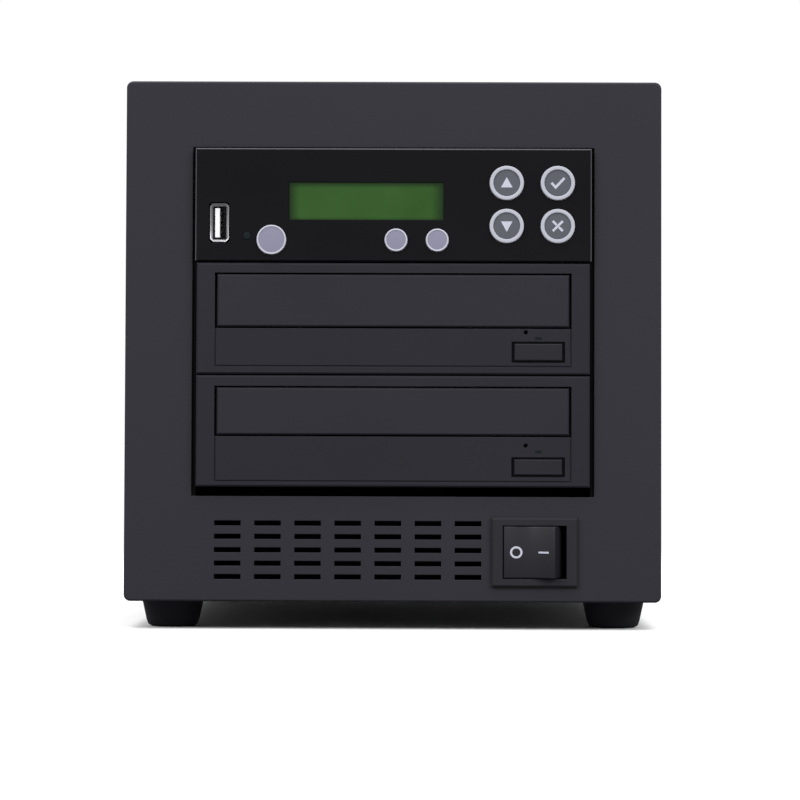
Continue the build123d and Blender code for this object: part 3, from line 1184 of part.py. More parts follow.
def all_pieces():
    pieces = {
        "front_panel": front_panel(),
        "top_cover": top_cover(),
        "base_pan": base_pan(),
        "rear_panel": rear_panel(),
        "bay_bracket_left": bay_bracket(-1),
        "bay_bracket_right": bay_bracket(1),
        "power_switch_body": power_switch_body(),
        "power_rocker": power_rocker(),
        "power_supply": power_supply(),
        "mains_inlet": mains_inlet(),
        "fan_frame": fan_frame(),
        "fan_rotor": fan_rotor(),
        "control_overlay": control_overlay(),
        "control_housing": control_housing(),
        "display_glass": display_glass(),
        "display_board": display_board(),
        "usb_port": usb_port(),
        "usb_lamp": usb_lamp(),
        "control_shelf": control_shelf(),
        "controller_board": controller_board(),
        "data_cables": data_cables(),
        "power_cables": power_cables(),
        "panel_cable": panel_cable(),
    }
    for name, place in foot_places().items():
        pieces[name] = foot(*place)
    for name, place in KEYS.items():
        pieces[name] = key(*place)
    for number, bottom, face in ((1, BEZEL_1_BOTTOM, FACE_1), (2, BEZEL_2_BOTTOM, FACE_2)):
        pieces[f"drive_bezel_{number}"] = drive_bezel(bottom, face)
        pieces[f"tray_door_{number}"] = tray_door(bottom, face)
        pieces[f"eject_button_{number}"] = eject_button(bottom, face)
        pieces[f"drive_chassis_{number}"] = drive_chassis(bottom)
        pieces[f"drive_lid_{number}"] = drive_lid(bottom)
        pieces[f"loader_frame_{number}"] = loader_frame(bottom)
        pieces[f"drive_board_{number}"] = drive_board(bottom, face)
        pieces[f"disc_tray_{number}"] = disc_tray(bottom)
        pieces[f"loading_gear_{number}"] = loading_gear(bottom)
        pieces[f"traverse_{number}"] = traverse(bottom)
        pieces[f"turntable_{number}"] = turntable(bottom)
        pieces[f"laser_sled_{number}"] = laser_sled(bottom)
    return pieces


os.makedirs("parts", exist_ok=True)
for node, piece in all_pieces().items():
    export_step(piece, f"parts/{node}.step")
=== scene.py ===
"""Looks of the disc duplicator tower: materials, small visible pieces, light and camera."""

import json
import math

import bmesh
import bpy
from mathutils import Matrix, Vector


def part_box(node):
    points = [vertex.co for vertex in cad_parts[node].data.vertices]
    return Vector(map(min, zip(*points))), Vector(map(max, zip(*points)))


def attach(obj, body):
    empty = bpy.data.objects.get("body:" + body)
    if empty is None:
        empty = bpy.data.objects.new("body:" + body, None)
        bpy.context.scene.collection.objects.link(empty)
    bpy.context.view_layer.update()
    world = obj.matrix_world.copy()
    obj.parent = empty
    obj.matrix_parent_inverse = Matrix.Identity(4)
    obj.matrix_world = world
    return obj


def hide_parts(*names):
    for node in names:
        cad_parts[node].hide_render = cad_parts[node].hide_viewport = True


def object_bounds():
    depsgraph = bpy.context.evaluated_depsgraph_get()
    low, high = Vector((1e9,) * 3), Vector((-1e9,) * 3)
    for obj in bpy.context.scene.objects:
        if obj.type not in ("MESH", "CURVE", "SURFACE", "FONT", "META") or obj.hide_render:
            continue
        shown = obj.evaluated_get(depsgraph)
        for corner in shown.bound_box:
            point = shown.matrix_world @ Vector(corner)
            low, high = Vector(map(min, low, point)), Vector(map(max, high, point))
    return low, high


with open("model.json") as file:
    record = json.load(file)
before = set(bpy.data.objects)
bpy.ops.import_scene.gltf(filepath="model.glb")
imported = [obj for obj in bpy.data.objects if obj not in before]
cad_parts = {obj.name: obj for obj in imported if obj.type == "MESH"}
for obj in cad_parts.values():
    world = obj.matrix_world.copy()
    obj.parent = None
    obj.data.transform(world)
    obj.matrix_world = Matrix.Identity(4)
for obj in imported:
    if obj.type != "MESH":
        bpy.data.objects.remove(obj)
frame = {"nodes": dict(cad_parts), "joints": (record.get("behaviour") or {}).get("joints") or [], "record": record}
cad_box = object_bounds()
nodes = frame["nodes"]

MM = 0.001


# ---------------------------------------------------------------- shader nodes

MIX_FACTOR, MIX_FIRST, MIX_SECOND, MIX_RESULT = 0, 6, 7, 2   # a mix node's sockets for colours


def srgb(*values):
    """Colour in linear light from 0..255 screen values."""
    def linear(v):
        v /= 255
        return v / 12.92 if v <= 0.04045 else ((v + 0.055) / 1.055) ** 2.4
    return tuple(linear(v) for v in values) + (1.0,)


def shade(colour, factor):
    return tuple(min(1.0, c * factor) for c in colour[:3]) + (1.0,)


def new_material(name):
    material = bpy.data.materials.new(name)
    material.use_nodes = True
    tree = material.node_tree
    return material, tree, tree.nodes["Principled BSDF"]


def connect(tree, socket, value):
    """Gives a socket a constant or another node's output."""
    if isinstance(value, (int, float, tuple)):
        socket.default_value = value
    else:
        tree.links.new(value, socket)


def set_inputs(tree, node, **inputs):
    """Connects a node's inputs, whose names have _ for a blank."""
    for key, value in inputs.items():
        connect(tree, node.inputs[key.replace("_", " ")], value)


def add(tree, kind, **inputs):
    node = tree.nodes.new(kind)
    set_inputs(tree, node, **inputs)
    return node


def calculate(tree, operation, *values, kind="ShaderNodeMath"):
    node = tree.nodes.new(kind)
    node.operation = operation
    for socket, value in zip(node.inputs, values):
        connect(tree, socket, value)
    return node.outputs["Value"]


def position(tree):
    return tree.nodes.new("ShaderNodeTexCoord").outputs["Object"]


def coordinate(tree, axis):
    return add(tree, "ShaderNodeSeparateXYZ", Vector=position(tree)).outputs[axis]


def noise(tree, size, detail=3.0, roughness=0.55):
    """Noise with features of about that size in metres."""
    return add(tree, "ShaderNodeTexNoise", Vector=position(tree), Scale=1 / size, Detail=detail,
               Roughness=roughness).outputs["Fac"]


def fine_lines(tree, scale, detail, roughness, stretch, turn=(0.0, 0.0, 0.0)):
    """Noise drawn out into lines along the axis whose stretch is small."""
    mapping = add(tree, "ShaderNodeMapping", Vector=position(tree), Rotation=turn, Scale=stretch)
    return add(tree, "ShaderNodeTexNoise", Vector=mapping.outputs["Vector"], Scale=scale,
               Detail=detail, Roughness=roughness).outputs["Fac"]


def spread(tree, value, low, high, from_low=0.3, from_high=0.7):
    """Maps one range to another and holds the value at both ends."""
    return add(tree, "ShaderNodeMapRange", Value=value, From_Min=from_low, From_Max=from_high,
               To_Min=low, To_Max=high).outputs["Result"]


def mix_colours(tree, share, first, second):
    node = tree.nodes.new("ShaderNodeMix")
    node.data_type = "RGBA"
    for index, value in ((MIX_FACTOR, share), (MIX_FIRST, first), (MIX_SECOND, second)):
        connect(tree, node.inputs[index], value)
    return node.outputs[MIX_RESULT]


def add_bump(tree, shader, height, strength, distance, normal=None):
    bump = add(tree, "ShaderNodeBump", Height=height, Strength=strength, Distance=distance)
    if normal is not None:
        connect(tree, bump.inputs["Normal"], normal)
    connect(tree, shader.inputs["Normal"], bump.outputs["Normal"])


# ---------------------------------------------------------------- materials

EDGE_SAMPLES = 4
EDGE_TURN = (0.80, 0.995)        # cosine between the softened and the true normal: full wear, none
PAINT_WEAR, METAL_WEAR = 2.2, 1.2
ROUGHNESS_SPREAD = 0.03
DUST = srgb(150, 148, 145)


def grained(name, colour, roughness=0.5, grain=0.35, depth=0.03, edge=0.35, variation=0.12,
            wear=0.35, specular=0.1, metallic=0.0, dust=0.0, patch=30):
    """Moulded or coated surface, lengths in mm: fine grain, soft edges that catch light and wear,
    and slow colour variation."""
    material, tree, shader = new_material(name)
    slow = spread(tree, noise(tree, 2 * patch * MM, 4.0), 0.0, 1.0)
    base = mix_colours(tree, slow, shade(colour, 1 - variation), shade(colour, 1 + variation))
    bevel = add(tree, "ShaderNodeBevel", Radius=edge * MM)
    bevel.samples = EDGE_SAMPLES
    geometry = tree.nodes.new("ShaderNodeNewGeometry")
    turned = calculate(tree, "DOT_PRODUCT", bevel.outputs["Normal"], geometry.outputs["Normal"],
                       kind="ShaderNodeVectorMath")
    on_edge = spread(tree, turned, 1.0, 0.0, *EDGE_TURN)
    patchy = spread(tree, noise(tree, 3 * MM, 5.0, 0.7), 0.2, 1.0, 0.4, 0.65)
    worn = calculate(tree, "MULTIPLY", calculate(tree, "MULTIPLY", on_edge, patchy), wear)
    base = mix_colours(tree, worn, base, shade(colour, METAL_WEAR if metallic else PAINT_WEAR))
    if dust:
        specks = spread(tree, noise(tree, 1.1 * MM, 6.0, 0.75), 0.0, dust, 0.62, 0.8)
        base = mix_colours(tree, specks, base, DUST)
    uneven = spread(tree, noise(tree, patch * MM, 2.0), roughness - ROUGHNESS_SPREAD,
                    roughness + ROUGHNESS_SPREAD)
    set_inputs(tree, shader, Base_Color=base, Roughness=uneven, Metallic=metallic,
               Specular_IOR_Level=specular)
    add_bump(tree, shader, noise(tree, grain * MM, 2.0, 0.6), 0.6, depth * MM,
             bevel.outputs["Normal"])
    return material


def brushed(name, colour, roughness=0.35, along="Y"):
    """Sheet metal with fine lines along one axis."""
    material, tree, shader = new_material(name)
    stretch = tuple(0.02 if axis == along else 1.0 for axis in "XYZ")
    lines = fine_lines(tree, 3500.0, 3.0, 0.7, stretch)
    base = mix_colours(tree, spread(tree, lines, 0.0, 1.0), shade(colour, 0.85), shade(colour, 1.1))
    stains = spread(tree, noise(tree, 14 * MM, 5.0, 0.6), 0.0, 0.35, 0.5, 0.75)
    set_inputs(tree, shader, Metallic=1.0,
               Base_Color=mix_colours(tree, stains, base, shade(colour, 0.7)),
               Roughness=spread(tree, lines, roughness - 0.1, roughness + 0.12))
    add_bump(tree, shader, lines, 0.25, 0.01 * MM)
    return material


def glossy_overlay():
    """Deep black printed acrylic: mirror-smooth with hairline scratches and a few dust specks."""
    material, tree, shader = new_material("gloss_overlay")
    clouds = spread(tree, noise(tree, 35 * MM, 3.0), 0.0, 1.0)
    base = mix_colours(tree, clouds, srgb(9, 8, 11), srgb(14, 13, 17))
    specks = spread(tree, noise(tree, 0.7 * MM, 6.0, 0.8), 0.0, 0.25, 0.7, 0.85)
    smears = spread(tree, noise(tree, 6 * MM, 6.0, 0.7), 0.06, 0.2)
    set_inputs(tree, shader, Base_Color=mix_colours(tree, specks, base, srgb(60, 60, 64)),
               Roughness=smears, Specular_IOR_Level=0.085)
    hairs = fine_lines(tree, 2200.0, 2.0, 0.5, (0.03, 1.0, 1.0), (0.0, math.radians(28), 0.0))
    bevel = add(tree, "ShaderNodeBevel", Radius=0.25 * MM)
    add_bump(tree, shader, hairs, 0.12, 0.01 * MM, bevel.outputs["Normal"])
    return material


# How far the painted shade of the window's rim reaches into the display at each edge
PAINTED_SHADE_LEFT, PAINTED_SHADE_RIGHT, PAINTED_SHADE_TOP, PAINTED_SHADE_BOTTOM = 4.0 * MM, 5.0 * MM, 2.2 * MM, 1.2 * MM
DISPLAY_CELL = 0.62 * MM


def display_material():
    """Unlit character display under its window: green, with the shade of the window's rim painted in as darker
    green near its edges.
    """
    material, tree, shader = new_material("display_green")
    low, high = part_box("display_glass")
    x, z = coordinate(tree, "X"), coordinate(tree, "Z")
    # inside is 1 away from the edges and falls to 0 (at the bottom only to 0.5) in the painted shade of the rim
    inside = spread(tree, x, 0.0, 1.0, low.x, low.x + PAINTED_SHADE_LEFT)
    for edge_shade in (spread(tree, x, 1.0, 0.0, high.x - PAINTED_SHADE_RIGHT, high.x),
                 spread(tree, z, 1.0, 0.0, high.z - PAINTED_SHADE_TOP, high.z),
                 spread(tree, z, 0.5, 1.0, low.z, low.z + PAINTED_SHADE_BOTTOM)):
        inside = calculate(tree, "MULTIPLY", inside, edge_shade)
    clouds = spread(tree, noise(tree, 16 * MM, 2.0), 0.0, 1.0)
    glow = mix_colours(tree, clouds, srgb(42, 73, 31), srgb(48, 80, 37))
    # painted shade: near the edges the display's green is mixed towards dark green srgb(24, 40, 22)
    set_inputs(tree, shader, Base_Color=mix_colours(tree, inside, srgb(24, 40, 22), glow),
               Roughness=0.22, Specular_IOR_Level=0.08)
    cells = add(tree, "ShaderNodeTexChecker", Vector=position(tree), Scale=1 / DISPLAY_CELL)
    add_bump(tree, shader, cells.outputs["Fac"], 0.04, 0.01 * MM)
    return material


def board_material(name, axis, plane, side):
    """Green circuit board with traces under the mask; what stands beyond a plane is dark."""
    material, tree, shader = new_material(name)
    traces = add(tree, "ShaderNodeTexBrick", Vector=position(tree), Scale=260.0, Mortar_Size=0.06,
                 Color1=srgb(18, 84, 44), Color2=srgb(22, 96, 52), Mortar=srgb(52, 120, 70))
    beyond = spread(tree, coordinate(tree, axis), 0.0, 1.0, plane, plane + side * 0.05 * MM)
    colour = mix_colours(tree, beyond, traces.outputs["Color"], srgb(40, 40, 43))
    set_inputs(tree, shader, Base_Color=colour,
               Roughness=spread(tree, noise(tree, 4 * MM), 0.25, 0.4))
    add_bump(tree, shader, traces.outputs["Fac"], 0.3, 0.03 * MM)
    return material


# Colour, roughness, then the grain's size and depth and the soft edge in mm, variation and wear
GRAINED = {
    "painted_steel": ((42, 41, 47), 0.5, 0.7, 0.09, 0.5, 0.05, 0.5),
    "bezel_plastic": ((35, 34, 40), 0.52, 0.5, 0.05, 0.3, 0.05, 0.5),
    "door_plastic": ((39, 38, 44), 0.5, 0.5, 0.05, 0.3, 0.05, 0.5),
    "button_plastic": ((35, 34, 39), 0.42, 0.25, 0.015, 0.25, 0.05, 0.6),
    "housing_plastic": ((34, 34, 36), 0.5),
    "key_plastic": ((166, 168, 177), 0.35, 0.4, 0.01, 0.15, 0.03, 0.2),
    "key_disc": ((82, 84, 91), 0.38, 0.25, 0.01, 0.2, 0.05, 0.1),
    "small_key_plastic": ((126, 125, 144), 0.4, 0.3, 0.01, 0.15, 0.04, 0.2),
    "small_rim": ((178, 178, 190), 0.35, 0.3, 0.01, 0.15, 0.03, 0.2),
    "white_print": ((178, 179, 192), 0.45, 0.3, 0.004, 0.05, 0.03, 0.0),
    # painted highlight: the grey of the overlay's edge strips stands for light caught on its polished edge
    "painted_edge_highlight": ((82, 82, 87), 0.3, 0.6, 0.01, 0.1, 0.15, 0.1),
    "lamp_lens": ((15, 24, 26), 0.32, 1.0, 0.005, 0.2, 0.05, 0.1),
    "tongue_white": ((224, 224, 226), 0.4, 0.5, 0.01, 0.2, 0.03, 0.0),
    "socket_grey": ((128, 128, 132), 0.5, 0.5, 0.005, 0.1, 0.08, 0.0),
    "switch_plastic": ((38, 37, 41), 0.42, 0.3, 0.015, 0.4, 0.05, 0.6),
    "rocker_plastic": ((31, 30, 35), 0.4, 0.3, 0.012, 0.4, 0.05, 0.6),
    "inlet_plastic": ((30, 30, 32), 0.45),
    "fan_plastic": ((32, 32, 34), 0.5),
    "fan_rotor_plastic": ((36, 36, 38), 0.42),
    "foot_rubber": ((40, 39, 44), 0.62, 0.5, 0.05, 0.8, 0.08, 0.2),
    "loader_plastic": ((36, 36, 38), 0.55),
    "tray_plastic": ((44, 44, 47), 0.42, 0.3, 0.015, 0.4),
    "gear_plastic": ((218, 214, 202), 0.45),
    "turntable_plastic": ((70, 70, 72), 0.5),
    "sled_plastic": ((58, 58, 60), 0.5),
    "cable_sheath": ((52, 50, 50), 0.45, 0.6),
    "zinc_screw": ((150, 151, 154), 0.35, 0.5, 0.01, 0.2, 0.08, 0.3),
    "black_screw": ((46, 46, 48), 0.4, 0.5, 0.01, 0.2, 0.08, 0.5),
    # painted shade: near-black finish for the bay brackets, so that the gaps beside the drives look shaded
    "painted_shade_steel": ((14, 14, 16), 0.6, 0.5, 0.02, 0.3, 0.05, 0.1),
}
EXTRAS = {
    "painted_steel": {"patch": 110},
    "lamp_lens": {"specular": 0.12},
    "rocker_plastic": {"specular": 0.2},
    "foot_rubber": {"dust": 0.25},
    "zinc_screw": {"metallic": 1.0},
    "painted_shade_steel": {"specular": 0.03},
}
MATERIALS = {name: grained(name, srgb(*colour), *look, **EXTRAS.get(name, {}))
             for name, (colour, *look) in GRAINED.items()}
MATERIALS["plain_steel"] = brushed("plain_steel", srgb(176, 178, 180))
MATERIALS["bright_metal"] = brushed("bright_metal", srgb(138, 138, 141), 0.36, "Z")
MATERIALS["gloss_overlay"] = glossy_overlay()
MATERIALS["display_green"] = display_material()

BOARD_THICKNESS = 1.6 * MM
REAR_PLUG = 6.0 * MM
ABOVE_BOARD = 0.1 * MM


def own_finishes():
    """Finishes of the nodes that don't simply take their slot's."""
    # The bay brackets show only in the gaps beside the drives; their near-black finish is painted shade
    finishes = {name: MATERIALS["painted_shade_steel"] for name in ("bay_bracket_left", "bay_bracket_right")}
    for name in ("drive_board_1", "drive_board_2", "controller_board"):
        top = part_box(name)[0].z + BOARD_THICKNESS
        finishes[name] = board_material(name, "Z", top + ABOVE_BOARD, 1)
    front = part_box("display_board")[1].y - REAR_PLUG - BOARD_THICKNESS
    finishes["display_board"] = board_material("display_board", "Y", front - ABOVE_BOARD, -1)
    return finishes


def paint_nodes():
    slots = {part["node"]: part["material_slot"] for part in frame["record"]["subparts"]}
    finishes = own_finishes()
    for name, thing in nodes.items():
        thing.data.materials.clear()
        thing.data.materials.append(finishes.get(name) or MATERIALS[slots[name]])


paint_nodes()


# ---------------------------------------------------------------- mesh helpers

SMOOTH_ANGLE = 35
MERGE_DISTANCE = 1e-7
UP = Vector((0, 0, 1))
FORWARD = (0, -1, 0)
REARWARD = (0, 1, 0)


def link_piece(name, mesh, material):
    mesh.materials.append(material)
    thing = bpy.data.objects.new(name, mesh)
    bpy.context.scene.collection.objects.link(thing)
    return thing


def mesh_piece(name, vertices, faces, material):
    mesh = bpy.data.meshes.new(name)
    mesh.from_pydata([tuple(v) for v in vertices], [], faces)
    mesh.update()
    return link_piece(name, mesh, material)


def finish_piece(name, work, material):
    """Makes a piece of a bmesh."""
    mesh = bpy.data.meshes.new(name)
    work.to_mesh(mesh)
    work.free()
    return link_piece(name, mesh, material)


def clean(thing, smooth_angle=SMOOTH_ANGLE):
    """Merges points that coincide, turns faces outward, shades them smooth up to an angle."""
    work = bmesh.new()
    work.from_mesh(thing.data)
    bmesh.ops.remove_doubles(work, verts=work.verts, dist=MERGE_DISTANCE)
    bmesh.ops.recalc_face_normals(work, faces=work.faces)
    limit = math.radians(smooth_angle)
    for edge in work.edges:
        edge.smooth = len(edge.link_faces) == 2 and edge.calc_face_angle(0) < limit
    for face in work.faces:
        face.smooth = True
    work.to_mesh(thing.data)
    work.free()


def bands(loops, count):
    """Faces between each loop of points and the next."""
    faces = []
    for start in range(0, (loops - 1) * count, count):
        for i in range(count):
            j = (i + 1) % count
            faces.append((start + i, start + j, start + count + j, start + count + i))
    return faces


def lathe(name, profile, centre, axis, material, segments=72, smooth_angle=SMOOTH_ANGLE):
    """A turned piece: profile points are (radius, distance along the axis) from the centre."""
    turn = UP.rotation_difference(Vector(axis)).to_matrix()
    centre = Vector(centre)
    vertices = []
    for radius, along in profile:
        for i in range(segments):
            a = 2 * math.pi * i / segments
            point = Vector((radius * math.cos(a), radius * math.sin(a), along))
            vertices.append(centre + turn @ point)
    thing = mesh_piece(name, vertices, bands(len(profile), segments), material)
    clean(thing, smooth_angle)
    return thing


def arc_points(centre, radius, start, end, steps):
    """(radius, along) points on an arc, angles in degrees."""
    angles = [math.radians(start + (end - start) * i / steps) for i in range(steps + 1)]
    return [(centre[0] + radius * math.cos(a), centre[1] + radius * math.sin(a)) for a in angles]


def extruded(corners, along):
    """A bmesh prism from the corners of one end and the way to the other."""
    work = bmesh.new()
    face = work.faces.new([work.verts.new(corner) for corner in corners])
    made = bmesh.ops.extrude_face_region(work, geom=[face])
    moved = [item for item in made["geom"] if isinstance(item, bmesh.types.BMVert)]
    bmesh.ops.translate(work, verts=moved, vec=along)
    bmesh.ops.recalc_face_normals(work, faces=work.faces)
    return work


def bevel_edges(work, edges, width, segments=2):
    bmesh.ops.bevel(work, geom=edges, offset=width, segments=segments, affect="EDGES", profile=0.5)


def box_piece(name, low, high, material, bevel=0.2 * MM):
    low, high = Vector(low), Vector(high)
    work = bmesh.new()
    place = Matrix.Translation((low + high) / 2) @ Matrix.Diagonal((*(high - low), 1.0))
    bmesh.ops.create_cube(work, size=1.0, matrix=place)
    bevel_edges(work, work.edges, bevel)
    return finish_piece(name, work, material)


def centre_xz(low, high):
    return (low.x + high.x) / 2, (low.z + high.z) / 2


def belong(thing, body):
    """Makes a piece ride with its body."""
    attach(thing, body)


# ---------------------------------------------------------------- keys

PRINT = 0.04 * MM
LARGE_KEYS = ("key_up", "key_down", "key_enter", "key_cancel")
SMALL_KEYS = ("key_small_left", "key_small_right", "key_copy")
LARGE_RIM, SMALL_RIM = 1.45 * MM, 0.7 * MM
LARGE_DISH, SMALL_DISH = 0.5 * MM, 0.25 * MM
KEY_FLANGE_RIM = 1.05 * MM
KEY_FLANGE_DOWN = 3.2 * MM
KEY_FLANGE_THICK = 1.0 * MM
KEY_STEM_HALF = 1.5 * MM
KEY_EDGE = 0.35 * MM
KEY_EDGE_STEPS = 5
KEY_CROWN = 0.12 * MM
KEY_CROWN_STEPS = 6
KEY_DISC_SKIRT = 0.05 * MM
SYMBOL_THICK = 0.2 * MM
TICK_WIDTH, CROSS_WIDTH = 0.95, 0.9
SHARPEST_MITRE = 0.3


def thick_line(points, width):
    """Outline of a line of even width through points."""
    left, right = [], []
    last = len(points) - 1
    for i, point in enumerate(points):
        here = Vector(point)
        if 0 < i < last:
            a = (here - Vector(points[i - 1])).normalized()
            b = (Vector(points[i + 1]) - here).normalized()
            normal = Vector((-(a + b).y, (a + b).x)).normalized()
            reach = width / 2 / max(SHARPEST_MITRE, normal.dot(Vector((-a.y, a.x))))
        else:
            ahead = (Vector(points[min(i + 1, last)]) - Vector(points[max(i - 1, 0)])).normalized()
            normal, reach = Vector((-ahead.y, ahead.x)), width / 2
        left.append(tuple(here + normal * reach))
        right.append(tuple(here - normal * reach))
    return left + right[::-1]


# Outlines of the keys' generic symbols, in mm from the key's middle
SYMBOLS = {
    "key_up": [[(-2.2, -1.7), (2.2, -1.7), (0.0, 2.2)]],
    "key_down": [[(-2.2, 1.7), (0.0, -2.2), (2.2, 1.7)]],
    "key_enter": [thick_line([(-2.4, 0.1), (-0.8, -1.6), (2.5, 1.9)], TICK_WIDTH)],
    "key_cancel": [thick_line([(-1.9, -1.9), (1.9, 1.9)], CROSS_WIDTH),
                   thick_line([(-1.9, 1.9), (-0.4, 0.4)], CROSS_WIDTH),
                   thick_line([(0.4, -0.4), (1.9, -1.9)], CROSS_WIDTH)],
}


def round_key(name):
    """A key with a rounded rim, a dished face and its printed symbol."""
    low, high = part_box(name)
    x, z = centre_xz(low, high)
    large = name in LARGE_KEYS
    rim_material = MATERIALS["key_plastic" if large else "small_rim"]
    face_material = MATERIALS["key_disc" if large else "small_key_plastic"]
    radius = (high.x - low.x) / 2 - KEY_FLANGE_RIM
    dish_radius = radius - (LARGE_RIM if large else SMALL_RIM)
    depth = LARGE_DISH if large else SMALL_DISH
    profile = [(dish_radius, -depth)]
    profile += arc_points((dish_radius + KEY_EDGE, -KEY_EDGE), KEY_EDGE, 180, 90, KEY_EDGE_STEPS)
    profile += arc_points((radius - KEY_EDGE, -KEY_EDGE), KEY_EDGE, 90, 0, KEY_EDGE_STEPS)
    profile += [(radius, -KEY_FLANGE_DOWN), (0.0, -KEY_FLANGE_DOWN)]
    cap = lathe(f"{name}_cap", profile, (x, low.y, z), FORWARD, rim_material)
    flange_front = low.y + KEY_FLANGE_DOWN
    flange_back = flange_front + KEY_FLANGE_THICK
    flange = box_piece(f"{name}_flange", (low.x, flange_front, low.z),
                       (high.x, flange_back, high.z), rim_material)
    stem = box_piece(f"{name}_stem", (x - KEY_STEM_HALF, flange_back, z - KEY_STEM_HALF),
                     (x + KEY_STEM_HALF, high.y, z + KEY_STEM_HALF), rim_material)
    shares = [i / KEY_CROWN_STEPS for i in range(1, KEY_CROWN_STEPS + 1)]
    disc = [(dish_radius, -depth - KEY_DISC_SKIRT), (dish_radius, -depth)]
    disc += [(dish_radius * (1 - s), -depth + KEY_CROWN * (1 - (1 - s) ** 2)) for s in shares]
    face = lathe(f"{name}_face", disc, (x, low.y, z), FORWARD, face_material)
    for piece in (flange, stem, cap, face):
        belong(piece, name)
    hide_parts(name)
    print_y = low.y + depth - KEY_CROWN - PRINT
    for i, shape in enumerate(SYMBOLS.get(name, ())):
        corners = [(x + right * MM, print_y, z + up * MM) for right, up in shape]
        symbol = finish_piece(f"{name}_symbol_{i}", extruded(corners, (0, SYMBOL_THICK, 0)),
                              MATERIALS["white_print"])
        belong(symbol, name)


for key_name in LARGE_KEYS + SMALL_KEYS:
    round_key(key_name)


# ---------------------------------------------------------------- edge of the overlay, with a painted highlight

STRIP_WIDTH = 0.36 * MM
STRIP_INSET = 0.05 * MM
STRIP_BACK = 0.2 * MM


def overlay_edge_highlights():
    """Polished edge of the overlay at the left, the top and the right: grey strips, a painted highlight where the
    edge catches the light.
    """
    low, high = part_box("control_overlay")
    left, right, top = low.x + STRIP_INSET, high.x - STRIP_INSET, high.z - STRIP_INSET
    inner_left, inner_right = low.x + STRIP_WIDTH, high.x - STRIP_WIDTH
    inner_top, bottom = high.z - STRIP_WIDTH, low.z + STRIP_WIDTH
    strips = {
        "left": [(left, bottom), (inner_left, bottom), (inner_left, inner_top), (left, top)],
        "top": [(left, top), (inner_left, inner_top), (inner_right, inner_top), (right, top)],
        "right": [(inner_right, bottom), (right, bottom), (right, top), (inner_right, inner_top)],
    }
    for side, shape in strips.items():
        corners = []
        for x, z in shape:
            inside = min(x - low.x, high.x - x, high.z - z)
            corners.append((x, low.y + STRIP_BACK + max(0.0, STRIP_WIDTH - inside), z))
        strip = mesh_piece(f"overlay_edge_{side}", corners, [tuple(range(len(corners)))],
                           MATERIALS["painted_edge_highlight"])
        belong(strip, "case")


overlay_edge_highlights()


# ---------------------------------------------------------------- USB socket

USB_HALF_WIDTH, USB_HALF_HEIGHT, USB_WALL = 2.85 * MM, 6.55 * MM, 0.3 * MM
# The shell from its inner end over the flared lip to its outside, in mm: size beyond the half
# width and height, corner cut, depth behind the lip
USB_LOOPS = ((-0.3, 0.35, 12.0), (-0.3, 0.35, 0.8), (0.5, 1.1, 0.05), (0.65, 1.15, 0.0),
             (0.8, 1.2, 0.15), (0.0, 0.6, 1.0))
USB_OUTER_CUT = 0.6
USB_SMOOTH = 40
LINING_GAP = 0.02 * MM
LINING_NEAR, LINING_FAR = 0.9 * MM, 11.9 * MM
TONGUE_LEFT, TONGUE_THICK, TONGUE_HALF = 1.1 * MM, 1.84 * MM, 5.55 * MM
TONGUE_NEAR, TONGUE_FAR = 1.2 * MM, 12 * MM
TONGUE_EDGE = 0.25 * MM
CONTACT_UP = (-3.5 * MM, -1.0 * MM, 1.0 * MM, 3.5 * MM)
CONTACT_HALF = 0.5 * MM
CONTACT_LEFT, CONTACT_RIGHT = 1.8 * MM, 2.6 * MM
CONTACT_NEAR, CONTACT_FAR = 1.9 * MM, 9.5 * MM
CONTACT_EDGE = 0.1 * MM


def usb_socket():
    low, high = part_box("usb_port")
    x, z = centre_xz(low, high)
    front = low.y

    def loop(beyond, cut, y):
        """Eight corners of an upright opening whose corners are cut off."""
        w, h = USB_HALF_WIDTH + beyond * MM, USB_HALF_HEIGHT + beyond * MM
        cut *= MM
        corners = ((w, h - cut), (w - cut, h), (cut - w, h), (-w, h - cut),
                   (-w, cut - h), (cut - w, -h), (w - cut, -h), (w, cut - h))
        return [(x + right, y, z + up) for right, up in corners]

    loops = [loop(beyond, cut, front + depth * MM) for beyond, cut, depth in USB_LOOPS]
    loops.append(loop(0.0, USB_OUTER_CUT, high.y))
    count = len(loops[0])
    vertices = [v for points in loops for v in points]
    inner_end = tuple(range(count))[::-1]
    outer_end = tuple(range(len(vertices) - count, len(vertices)))
    shell = mesh_piece("usb_shell", vertices, [inner_end, *bands(len(loops), count), outer_end],
                       MATERIALS["bright_metal"])
    clean(shell, USB_SMOOTH)
    belong(shell, "case")
    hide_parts("usb_port")
    inner_w = USB_HALF_WIDTH - USB_WALL - LINING_GAP
    inner_h = USB_HALF_HEIGHT - USB_WALL - LINING_GAP
    corners = [(x - inner_w, z - inner_h), (x + inner_w, z - inner_h), (x + inner_w, z + inner_h),
               (x - inner_w, z + inner_h)]
    vertices = [(a, front + depth, b) for depth in (LINING_NEAR, LINING_FAR) for a, b in corners]
    faces = [(0, 1, 5, 4), (1, 2, 6, 5), (2, 3, 7, 6), (3, 0, 4, 7), (4, 5, 6, 7)]
    lining = mesh_piece("usb_lining", vertices, faces, MATERIALS["socket_grey"])
    belong(lining, "case")
    left = x - USB_HALF_WIDTH + TONGUE_LEFT
    tongue = box_piece("usb_tongue", (left, front + TONGUE_NEAR, z - TONGUE_HALF),
                       (left + TONGUE_THICK, front + TONGUE_FAR, z + TONGUE_HALF),
                       MATERIALS["tongue_white"], TONGUE_EDGE)
    belong(tongue, "case")
    for i, up in enumerate(CONTACT_UP):
        contact = box_piece(f"usb_contact_{i}",
                            (left + CONTACT_LEFT, front + CONTACT_NEAR, z + up - CONTACT_HALF),
                            (left + CONTACT_RIGHT, front + CONTACT_FAR, z + up + CONTACT_HALF),
                            MATERIALS["housing_plastic"], CONTACT_EDGE)
        belong(contact, "case")


usb_socket()


# ---------------------------------------------------------------- rocker and its marks

